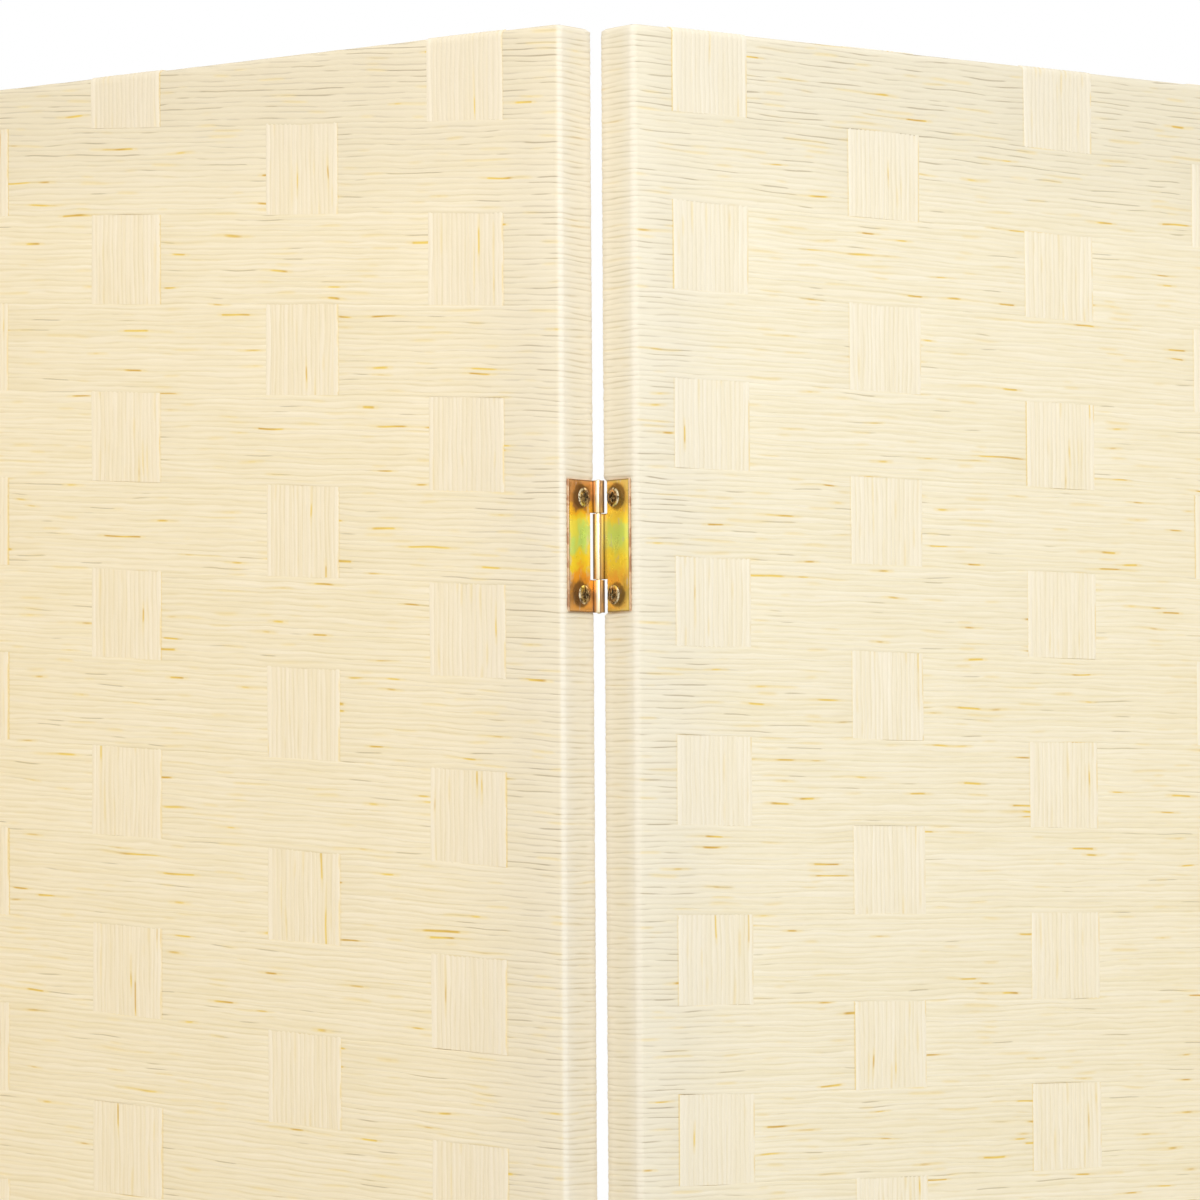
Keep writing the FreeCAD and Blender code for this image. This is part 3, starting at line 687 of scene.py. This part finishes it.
def grown(name, mesh, tree, amounts):
    """Runs a geometry tree on a line and keeps what it makes as a plain mesh piece."""
    line = bpy.data.objects.new(f"{name}_line", mesh)
    bpy.context.scene.collection.objects.link(line)
    modifier = line.modifiers.new("weave", "NODES")
    modifier.node_group = tree
    for item in tree.interface.items_tree:
        if item.in_out == "INPUT" and item.name in amounts:
            modifier[item.identifier] = amounts[item.name]
    depsgraph = bpy.context.evaluated_depsgraph_get()
    made = bpy.data.meshes.new_from_object(
        line.evaluated_get(depsgraph), preserve_all_data_layers=True, depsgraph=depsgraph
    )
    bpy.data.objects.remove(line)
    bpy.data.meshes.remove(mesh)
    for label in WORKING_LAYERS:
        if label in made.attributes:
            made.attributes.remove(made.attributes[label])
    made.name = name
    piece = bpy.data.objects.new(name, made)
    bpy.context.scene.collection.objects.link(piece)
    return piece


def common_amounts(panel, finish):
    weave = WEAVES[panel]
    corner, turn = panel_place(panel)
    return {
        "Top": weave["top"],
        "Pitch": weave["pitch"],
        "Slope": weave["slope"],
        "Seed": panel * WEAVE_SEED,
        "Place": corner,
        "Turn": (0, 0, turn),
        "Finish": finish,
    }


def last_band(panel):
    """The band that folds under the bottom rail along the whole panel."""
    weave = WEAVES[panel]
    return math.ceil((weave["top"] - WEAVE_BOTTOM + FOLD_REACH) / weave["pitch"])


# Depth of the hinge pin, from a panel's front, at its left and right edge.
FRONT_PIN = -0.0007
BACK_PIN = 0.0187
NO_PIN = 1.0
EDGE_PINS = {
    1: (NO_PIN, FRONT_PIN),
    2: (FRONT_PIN, BACK_PIN),
    3: (BACK_PIN, FRONT_PIN),
    4: (FRONT_PIN, NO_PIN),
}
FIRST_BAND = -1  # lies over the top rail
weft_tree = level_band_tree()
for panel in PANELS:
    weft_finish = level_cord(panel)
    left_pin, right_pin = EDGE_PINS[panel]
    last = last_band(panel)
    half_way = (FIRST_BAND + last) // 2
    for part, begin, end in (("upper", FIRST_BAND, half_way), ("lower", half_way, last)):
        bands = grown(
            f"panel_{panel}_{part}_weft",
            line_mesh(
                "band_line",
                [band_line(COLUMNS[panel], EDGE_PINS[panel])],
                {"out": "FLOAT_VECTOR", "column": "FLOAT", "crossing": "FLOAT", "turn": "FLOAT"},
            ),
            weft_tree,
            {
                **common_amounts(panel, weft_finish),
                "First Band": begin,
                "Bands": end - begin,
                "Left Pin": left_pin,
                "Right Pin": right_pin,
            },
        )
        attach(bands, f"panel_{panel}")
        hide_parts(f"panel_{panel}_weft_bands")


# Upright bands of the weave: five flat bundles of the same cord on each panel, threaded over one level
# band and under the next, up the front, over the top rail, down the back and under the bottom rail.
OVER = 0.00012  # of an upright band past the wall, where it shows
UNDER = -0.0001  # of its outside past the stiles, where it is hidden
UPRIGHT_GROOVE = 0.00008
UPRIGHT_INNER = 0.0006  # from the outside of an upright band to its inside
UPRIGHT_FLATTEN = 0.35
UPRIGHT_SWAY = 0.0013
UPRIGHT_SWAY_PACE = 0.8  # waves to a level band
UPRIGHT_PUFF = 0.0002
UPRIGHT_PUFF_PACE = 2.1
BACK_TALLY = 200  # added to the count of a cord on the back, so that it doesn't repeat the front
UPRIGHTS = len(COLUMNS[1])
BAKE_STRIPS = 4  # lengths into which one of them is cut for baking
BAKE_MARGIN = 0.02
UPRIGHT_PAPER = (1, 1, 3)  # levels by which it is paler than the level bands
# Painted shade towards the top of an upright band.
PAINTED_UPRIGHT_TOP_SHADE = (-14, -13, -8)
PALE_CORD = (5, 7, 14)
YELLOW_RIM = tone(240, 210, 124)
TOP_HEIGHTS = (1.637, 1.694)  # between which the shade by the top sets in
UPRIGHT_SLIT = (0.685, 0.73)
# How an upright band rises over a level one: bands below that one's upper edge, and share of the lift.
WINDOW = ((-0.03, 0), (-0.005, 0.96), (0.06, 1.0), (0.94, 1.0), (1.005, 0.96), (1.03, 0))
RAIL_STOPS = (-0.12, -0.08, -0.05, -0.02, 0.01, 0.04, 0.08)  # bands past a rail's edge


def upright_cord(panel):
    """The same cord, with fewer slits, two paler cords in each band, a yellow line beside one, and painted
    shade towards the outer sides and the top.
    """
    material, start = new_finish(f"upright_cord_{panel}", PAPER_SHINE)
    cords = Cords(start, panel * 5.1 + 40)
    paper = [level + more for level, more in zip(PAPERS[panel], UPRIGHT_PAPER)]
    colour = plain_cord(cords, paper)
    across = cords.tally % CORDS
    column = (cords.tally % BACK_TALLY / CORDS).floor()
    outward = (column < 0.5) * (CORDS - across) / CORDS + (column > UPRIGHTS - 1.5) * across / CORDS
    # Painted shade towards the outer sides of the panel and its top.
    upper = cords.along.step(*TOP_HEIGHTS)
    near = (outward * 0.6).at_least(upper * 0.5)
    colour = start.mix(near * 0.64, colour, shaded(paper, PAINTED_BRINK_SHADE))
    colour = start.mix(upper * 0.25, colour, shaded(paper, PAINTED_UPRIGHT_TOP_SHADE))
    stain = cords.groove.step(0.2, 0.8) * cords.gape.step(0.58, 0.68)
    colour = start.mix(stain * 0.35, colour, STAIN)
    slit = cords.groove.step(0.5, 0.9) * cords.gape.step(*UPRIGHT_SLIT)
    colour = start.mix(slit * 0.75, colour, cords.ochre())
    outer = across.step(CORDS - 1.3, CORDS - 0.7).at_least(1 - across.step(0.7, 1.3))
    colour = start.mix(outer * 0.4, colour, shaded(paper, PALE_CORD))
    rim = across.step(CORDS - 0.4, CORDS - 0.1) * cords.tight.step(0.45, 0.6)
    colour = start.mix(rim * 0.5, colour, YELLOW_RIM)
    return papery(material, cords, colour)


def upright_line(panel, column, middle):
    """One upright band's way round a panel, from the bottom of the front over the top to the back."""
    weave = WEAVES[panel]
    first = -2 + column % 2
    woven = [
        (band + share, lift) for band in range(first, last_band(panel) + 1, 2) for share, lift in WINDOW
    ]

    def lift_at(row):
        for (low, before), (high, after) in zip(woven, woven[1:]):
            if low <= row <= high:
                return before + (after - before) * (row - low) / (high - low)
        return 0

    folds = []
    for rail, down in ((WEAVE_TOP, 1), (WEAVE_BOTTOM, -1)):
        level = (weave["top"] - weave["slope"] * middle - rail) / weave["pitch"]
        folds += [level + share * down for share in RAIL_STOPS]
    face = sorted(woven + [(row, lift_at(row)) for row in folds])
    spots = [(row, lift, 0) for row, lift in reversed(face)] + [(row, lift, 1) for row, lift in face]
    spots.append(spots[0])
    return [
        {
            "place": (middle, PANEL_DEPTH * side, 0),
            "row": row,
            "lift": lift,
            "side": side,
            "column": column,
            "turn": index / (len(spots) - 1),
        }
        for index, (row, lift, side) in enumerate(spots)
    ]


def upright_band_tree():
    """Lays cords along the lines of a panel's upright bands."""
    tree, inputs = new_tree("upright_bands", WEAVE_INPUTS)
    start = inputs["Line"]
    curve = start.node("GeometryNodeMeshToCurve", sockets={"Mesh": start})
    curve = stored(curve, "base", "FLOAT_VECTOR", start.node("GeometryNodeInputPosition"))
    cover = start.node(
        "GeometryNodeCurveToMesh", sockets={"Curve": curve, "Profile Curve": cord_section(start)}
    )
    row = named(start, "row")
    lift = named(start, "lift")
    side = named(start, "side")
    column = named(start, "column")
    middle, y, _ = named(start, "base", "FLOAT_VECTOR").axes()
    cord, crown, inside = across_band(named(start, "step"))
    tally = column * CORDS + cord + side * BACK_TALLY
    seed = inputs["Seed"]
    sway_spot = start.vector(row * UPRIGHT_SWAY_PACE, tally * SWAY_SPREAD, seed)
    puff_spot = start.vector(row * UPRIGHT_PUFF_PACE, tally * PUFF_SPREAD, seed)
    sway = (start.noise(sway_spot, 1.0, 1.0) - 0.5) * UPRIGHT_SWAY
    puff = (start.noise(puff_spot, 1.0, 1.0) - 0.5) * UPRIGHT_PUFF
    x = middle + (cord / CORDS - 0.5) * WARP_WIDTH + sway
    height = inputs["Top"] - inputs["Pitch"] * row - inputs["Slope"] * x
    depth = lift * (WALL + OVER - UNDER) + UNDER - (1 - crown) * UPRIGHT_GROOVE + puff
    depth = depth - inside * UPRIGHT_INNER
    out = start.vector(0, side * 2 - 1, 0)
    base = start.vector(x, y, 0)
    cover = start.node(
        "GeometryNodeSetPosition",
        sockets={"Geometry": cover, "Position": laid(start, base, out, height, depth, UPRIGHT_FLATTEN)},
    )
    cover = stored(cover, "cord", "FLOAT_VECTOR", start.vector(height, 0, tally))
    turn = named(start, "turn") * BAKE_STRIPS
    strip = start.node(
        "GeometryNodeFieldOnDomain", {"data_type": "FLOAT", "domain": "FACE"}, {"Value": turn}
    ).floor()
    part = (turn - strip) * (1 - 2 * BAKE_MARGIN) + BAKE_MARGIN
    line = column * BAKE_STRIPS + strip + named(start, "step") / CLOSING_STEP
    baked = start.vector(part, line / (BAKE_STRIPS * UPRIGHTS), 0)
    cover = stored(cover, "OFBake", "FLOAT2", baked, "CORNER")
    return finished(tree, cover, inputs)


warp_tree = upright_band_tree()
for panel in PANELS:
    warp_finish = upright_cord(panel)
    bundles = grown(
        f"panel_{panel}_warp",
        line_mesh(
            "upright_line",
            [upright_line(panel, column, middle) for column, middle in enumerate(COLUMNS[panel])],
            {"row": "FLOAT", "lift": "FLOAT", "side": "FLOAT", "column": "FLOAT", "turn": "FLOAT"},
        ),
        warp_tree,
        common_amounts(panel, warp_finish),
    )
    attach(bundles, f"panel_{panel}")
    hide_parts(f"panel_{panel}_warp_bands")


# Butt hinges: leaves pressed from thin sheet, their knuckles rolled round a pin, zinc plated and passivated
# to a yellow that shifts to green and copper. Each leaf is screwed onto the cover of a panel's edge.
FOLDS = {"fold_12": (1, 2), "fold_23": (2, 3), "fold_34": (3, 4)}
LEVELS = ("top", "middle", "bottom")
HINGE_SPACING = HINGE_HEIGHTS[1] - HINGE_HEIGHTS[0]
LEAF_HEIGHT = 0.045
LEAF_REACH = 0.0152  # pin to the outer side of a leaf
BARREL = 0.0020  # radius of the knuckles
SCREW_UP = 0.0166  # middle of a leaf to its screws
SCREW_OUT = 0.0066  # pin to the screws
LEAF_EASE = 0.00014  # width by which the corners of a leaf are eased
WELD = 1e-6  # points as close as this become one
FLAT_BEND = math.radians(1)  # below which two faces become one
SHARP_CORNER = math.radians(30)  # past which a corner is eased
# Plating up a leaf: the colour at its foot, then where each next colour fades in, in half heights.
PLATE_FOOT = tone(232, 176, 104)
PLATE_ZONES = (
    (-0.98, -0.75, tone(184, 136, 80)),
    (-0.66, -0.50, tone(238, 172, 70)),
    (-0.46, -0.30, tone(238, 212, 76)),
    (0.48, 0.56, tone(246, 196, 62)),
    (0.58, 0.70, tone(180, 130, 76)),
    (0.80, 0.98, tone(228, 168, 104)),
)
# Painted reflection round a knuckle: bright and dark streaks by the direction from its front, over half a
# turn and then again.
PAINTED_KNUCKLE_HIGHLIGHT = tone(254, 240, 206)
PAINTED_KNUCKLE_REFLECTION = (
    (0.02, 0.05, tone(150, 106, 66)),
    (0.08, 0.14, tone(214, 180, 138)),
    (0.24, 0.34, tone(120, 84, 50)),
    (0.64, 0.74, tone(222, 180, 128)),
    (0.80, 0.86, PAINTED_KNUCKLE_HIGHLIGHT),
)
GREEN_BLOOM = tone(196, 218, 144)
# Painted light: the leaves of the odd panels are made a brighter yellow, as if lit more.
PAINTED_LEAF_LIGHT = tone(255, 242, 120)
PAINTED_LEAF_LIGHT_SHARE = 0.45  # on the leaves of the odd panels
FLECK = tone(216, 206, 196)
# Painted shade and reflection: a dark patch round each screw, off to the side away from the pin.
PAINTED_SCREW_SHADE = tone(112, 82, 48)
SCREW_SHADE_SHIFT = 0.0022  # its middle from that of a screw, away from the pin
SCREW_SHADE_EDGE = (0.0038, 0.0050)
DARK_BORDER = tone(110, 78, 50)
BORDER_EDGE = (0.0002, 0.0006)
BRIGHT_COPPER = tone(242, 214, 184)
DULL_COPPER = tone(214, 170, 136)
CLOUDS, FLECKS, PATCHES, NICKS = 190, 420, 120, 320  # to a metre
FLECK_DEPTH = 0.00003


def softened(node, edge, finishes, second=None):
    """A copy of a CAD node's mesh with its corners eased; some faces may take a second finish."""
    mesh = frame["nodes"][node].data.copy()
    mesh.materials.clear()
    for finish in finishes:
        mesh.materials.append(finish)
    work = bmesh.new()
    work.from_mesh(mesh)
    bmesh.ops.remove_doubles(work, verts=work.verts, dist=WELD)
    bmesh.ops.dissolve_limit(work, angle_limit=FLAT_BEND, verts=work.verts, edges=work.edges)
    corners = [e for e in work.edges if e.is_manifold and e.calc_face_angle() > SHARP_CORNER]
    bmesh.ops.bevel(
        work, geom=corners, offset=edge, segments=2, profile=0.5, affect="EDGES", clamp_overlap=True
    )
    work.normal_update()
    for face in work.faces:
        face.material_index = 1 if second and second(face) else 0
    work.to_mesh(mesh)
    work.free()
    mesh.shade_smooth()
    mesh.set_sharp_from_angle(angle=CRISP_BEND)
    piece = bpy.data.objects.new(f"{node}_finished", mesh)
    bpy.context.scene.collection.objects.link(piece)
    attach(piece, frame["nodes"][node]["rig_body"])
    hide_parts(node)
    return piece


def on_leaf(start, pin, away, shift=0):
    """Where a point of a hinge lies: its place, its height and reach on the leaf, and how far it is from the
    nearest screw, or from a spot beyond that screw by a shift."""
    place = start.node("ShaderNodeTexCoord", out="Object")
    x, y, z = place.axes()
    up = (z - HINGE_HEIGHTS[0] + HINGE_SPACING / 2) % HINGE_SPACING - HINGE_SPACING / 2
    reach = (x - pin.x) * away.x + (y - pin.y) * away.y
    over = reach - SCREW_OUT - shift
    rise = up.size() - SCREW_UP
    return (x, y, z), up, reach, start.maths("SQRT", over * over + rise * rise)


def zoned(start, place, first, zones):
    """Colours that follow each other along a wire, each fading in between its own two values."""
    colour = first
    for low, high, following in zones:
        colour = start.mix(place.step(low, high), colour, following)
    return colour


def passivated(name, pin, away, seed, leaf_light):
    """Yellow passivate on zinc: orange and brown by the screws, bright yellow, a green bloom half way up;
    painted dark shade and reflection round the screws, painted light on the leaves of the odd panels, and a
    painted reflection round the knuckles.
    """
    material, start = new_finish(name, {"Metallic": 0.75})
    (x, y, z), up, reach, spot = on_leaf(start, pin, away, SCREW_SHADE_SHIFT)
    cloud = start.noise(start.vector(x, y, z * 0.8 + seed), CLOUDS, 3)
    fleck = start.noise(start.vector(x, y, z * 0.5 + seed), FLECKS, 3)
    patch = start.noise(start.vector(x, y, z * 0.7 - seed), PATCHES, 2)
    far = up / (LEAF_HEIGHT / 2) + (cloud - 0.5) * 0.8
    colour = zoned(start, far, PLATE_FOOT, PLATE_ZONES)
    half_way = far.step(-0.18, 0.04) * (1 - far.step(0.30, 0.44))
    bloom = half_way * (0.35 + patch.step(0.40, 0.56) * 0.65)
    colour = start.mix(bloom, colour, GREEN_BLOOM)
    colour = start.mix(leaf_light, colour, PAINTED_LEAF_LIGHT)
    colour = start.mix(fleck.step(0.58, 0.68) * 0.5, colour, FLECK)
    screw_shade = 1 - (spot + (cloud - 0.5) * 0.003).step(*SCREW_SHADE_EDGE)
    colour = start.mix(screw_shade * 0.75, colour, PAINTED_SCREW_SHADE)
    border = (LEAF_REACH - reach).at_most(LEAF_HEIGHT / 2 - up.size())
    colour = start.mix((1 - border.step(*BORDER_EDGE)) * 0.7, colour, DARK_BORDER)
    across = x - pin.x
    through = y - pin.y
    radius = start.maths("SQRT", across * across + through * through)
    barrel = 1 - radius.step(BARREL * 1.02, BARREL * 1.12)
    rolled = (start.maths("ARCTAN2", across, through * -1) / math.pi + (cloud - 0.5) * 0.06) % 1.0
    painted_reflection = zoned(start, rolled, PAINTED_KNUCKLE_HIGHLIGHT, PAINTED_KNUCKLE_REFLECTION)
    colour = start.mix(barrel * 0.9, colour, painted_reflection)
    return feed(
        material,
        {
            "Base Color": colour,
            "Roughness": 0.2 + fleck * 0.2,
            "Normal": start.bump(fleck, FLECK_DEPTH, 0.4),
        },
    )


def sheared_copper(name):
    """The sheared rim of a leaf, where the plate is thin and looks like pink copper with dark nicks."""
    material, start = new_finish(name, {"Metallic": 0.7})
    nick = start.noise(start.node("ShaderNodeTexCoord", out="Object"), NICKS, 2)
    return feed(
        material,
        {
            "Base Color": start.mix(nick.step(0.46, 0.6), BRIGHT_COPPER, DULL_COPPER),
            "Roughness": 0.3 + nick * 0.2,
        },
    )


def leaf_run(fold, panel):
    """The way a leaf runs from its pin across the edge of its panel, and the way across its sheet."""
    pin = sum(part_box(f"{fold}_pins"), Vector()) / 2
    leaf = sum(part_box(f"{fold}_middle_leaf_{panel}"), Vector()) / 2
    turn = panel_place(panel)[1]
    run = Vector((-math.sin(turn), math.cos(turn), 0))
    return pin, run if run.dot(leaf - pin) > 0 else -run, Vector((math.cos(turn), math.sin(turn), 0))


sheared = sheared_copper("sheared_copper")
for seed, (fold, panels) in enumerate(FOLDS.items()):
    for panel in panels:
        pin, away, normal = leaf_run(fold, panel)

        def on_rim(face):
            flat = face.calc_center_median() - pin
            return abs(face.normal.dot(normal)) < 0.8 and flat.xy.length > BARREL * 1.3

        hinge_finish = passivated(
            f"passivated_{fold}_{panel}", pin, away, seed * 2.7 + panel, panel % 2 * PAINTED_LEAF_LIGHT_SHARE
        )
        for level in LEVELS:
            leaf = softened(
                f"{fold}_{level}_leaf_{panel}", LEAF_EASE, (hinge_finish, sheared), on_rim
            )


# Hinge pins and screws: the pins are plain wire with domed ends, the screws are oval-headed wood screws
# with a cross recess, browned by the same bath as the leaves.
SMALL_EASE = 0.00008
DARK_BRONZE = tone(96, 76, 48)
PALE_BRONZE = tone(190, 170, 128)
# A painted highlight round the rim of a screw head.
PAINTED_RIM_HIGHLIGHT = tone(246, 232, 196)
SCUFF = tone(250, 242, 222)
HEAD_RIM = (0.0024, 0.0029)  # from the middle of a head, where the painted highlight on its rim sets in
BRONZE_CLOUDS, SCUFFS = 900, 1700  # to a metre
SCUFF_DEPTH = 0.00002


def bronzed(name, pin, away):
    """Clouded bronze plate, with a painted highlight round the rim of a head, and scuffed all over."""
    material, start = new_finish(name, {"Metallic": 0.9})
    (x, y, z), _, _, spot = on_leaf(start, pin, away)
    cloud = start.noise(start.vector(x, y, z), BRONZE_CLOUDS, 3)
    scuff = start.noise(start.vector(x, y, z), SCUFFS, 2)
    plate = start.mix(cloud.step(0.38, 0.62), DARK_BRONZE, PALE_BRONZE)
    rim = spot.step(*HEAD_RIM) * cloud.step(0.35, 0.55)
    colour = start.mix(rim * 0.8, plate, PAINTED_RIM_HIGHLIGHT)
    colour = start.mix(scuff.step(0.58, 0.70) * 0.4, colour, SCUFF)
    return feed(
        material,
        {
            "Base Color": colour,
            "Roughness": 0.14 + cloud * 0.22,
            "Normal": start.bump(scuff, SCUFF_DEPTH, 0.3),
        },
    )


for fold, panels in FOLDS.items():
    for panel in panels:
        pin, away, _ = leaf_run(fold, panel)
        bronze = bronzed(f"bronzed_{fold}_{panel}", pin, away)
        screws = softened(f"{fold}_screws_{panel}", SMALL_EASE, (bronze,))
    pins = softened(f"{fold}_pins", SMALL_EASE, (bronze,))


# Studio: a pale floor under an even white surround, with a broad lamp far in front and one above the
# front, whose light falls off down the panels.
FLOOR_HALF = 14.0
FLOOR_FADE = (1.5, 9.0)  # from the middle, between which the floor turns as white as the surround
FLOOR_GLOW = tone(186, 186, 186)
FLOOR_SHADES = (tone(236, 235, 232), tone(242, 241, 239))
FLOOR_SPECKLES = 30  # to a metre
floor_mesh = bpy.data.meshes.new("studio_floor")
floor_mesh.from_pydata(
    [(x * FLOOR_HALF, y * FLOOR_HALF, 0) for x, y in ((-1, -1), (1, -1), (1, 1), (-1, 1))],
    [],
    [(0, 1, 2, 3)],
)
floor = bpy.data.objects.new("studio_floor", floor_mesh)
bpy.context.scene.collection.objects.link(floor)


def seen_ray(start):
    """1 for the rays that show the background itself, not for those that light the object by it."""
    ray = start.node("ShaderNodeLightPath", out="Is Camera Ray")
    return (ray + ray.other("Is Glossy Ray") + ray.other("Is Transmission Ray")).at_most(1)


paint, start = new_finish(
    "pale_floor", {"Roughness": 0.9, "Specular IOR Level": 0.1, "Emission Strength": 1.0}
)
place = start.node("ShaderNodeTexCoord", out="Object")
speckle = start.noise(place, FLOOR_SPECKLES, 3)
from_middle = start.node("ShaderNodeVectorMath", {"operation": "LENGTH"}, {0: place}, out="Value")
whitened = from_middle.step(*FLOOR_FADE) * seen_ray(start)
feed(
    paint,
    {
        "Base Color": start.mix(speckle, *FLOOR_SHADES),
        "Emission Color": start.mix(whitened, tone(0, 0, 0), FLOOR_GLOW),
    },
)
floor_mesh.materials.append(paint)

SURROUND = 0.635  # strength by which the surround lights the object
world = bpy.data.worlds.new("white_surround")
world.use_nodes = True
bpy.context.scene.world = world
sky = Wire(world.node_tree)
world.node_tree.nodes.clear()
white = sky.node("ShaderNodeBackground", sockets={"Color": (1, 1, 1, 1), "Strength": 1.0})
dim = sky.node("ShaderNodeBackground", sockets={"Color": (1, 1, 1, 1), "Strength": SURROUND})
both = sky.node("ShaderNodeMixShader", sockets={0: seen_ray(sky), 1: dim, 2: white})
surround_exit = world.node_tree.nodes.new("ShaderNodeOutputWorld")
world.node_tree.links.new(both.socket, surround_exit.inputs["Surface"])

LAMPS = {
    "front_lamp": {"place": (-0.3, -9.0, 3.0), "size": 4.0, "power": 126},
    "top_lamp": {"place": (0.0, -1.1, 2.4), "size": 1.0, "power": 9.1},
}
LAMP_AIM = Vector((0, 0, 1.2))
for name, lamp in LAMPS.items():
    light = bpy.data.lights.new(name, "AREA")
    light.shape = "DISK"
    light.size = lamp["size"]
    light.energy = lamp["power"]
    holder = bpy.data.objects.new(name, light)
    holder.location = lamp["place"]
    holder.rotation_euler = (LAMP_AIM - Vector(lamp["place"])).to_track_quat("-Z", "Y").to_euler()
    holder.visible_camera = False
    bpy.context.scene.collection.objects.link(holder)
bpy.context.scene.view_settings.view_transform = "Standard"

# Camera: a long lens at eye level, about two metres in front of the middle fold. It looks slightly up
# at the top quarter of the two middle panels.
LENS_LENGTH = 174.6  # mm
SENSOR_WIDTH = 36  # mm
CAMERA_PLACE = Vector((-0.0182, -2.0946, 1.4128))
CAMERA_UP = math.radians(2.663)
CAMERA_ROUND = math.radians(-0.536)
CAMERA_ROLL = math.radians(-0.361)
lens = bpy.data.cameras.new("photo_camera")
lens.sensor_width = SENSOR_WIDTH
lens.lens = LENS_LENGTH
camera = bpy.data.objects.new("photo_camera", lens)
camera.matrix_world = (
    Matrix.Translation(CAMERA_PLACE)
    @ Matrix.Rotation(CAMERA_ROUND, 4, "Z")
    @ Matrix.Rotation(math.pi / 2 + CAMERA_UP, 4, "X")
    @ Matrix.Rotation(CAMERA_ROLL, 4, "Z")
)
bpy.context.scene.collection.objects.link(camera)
bpy.context.scene.camera = camera
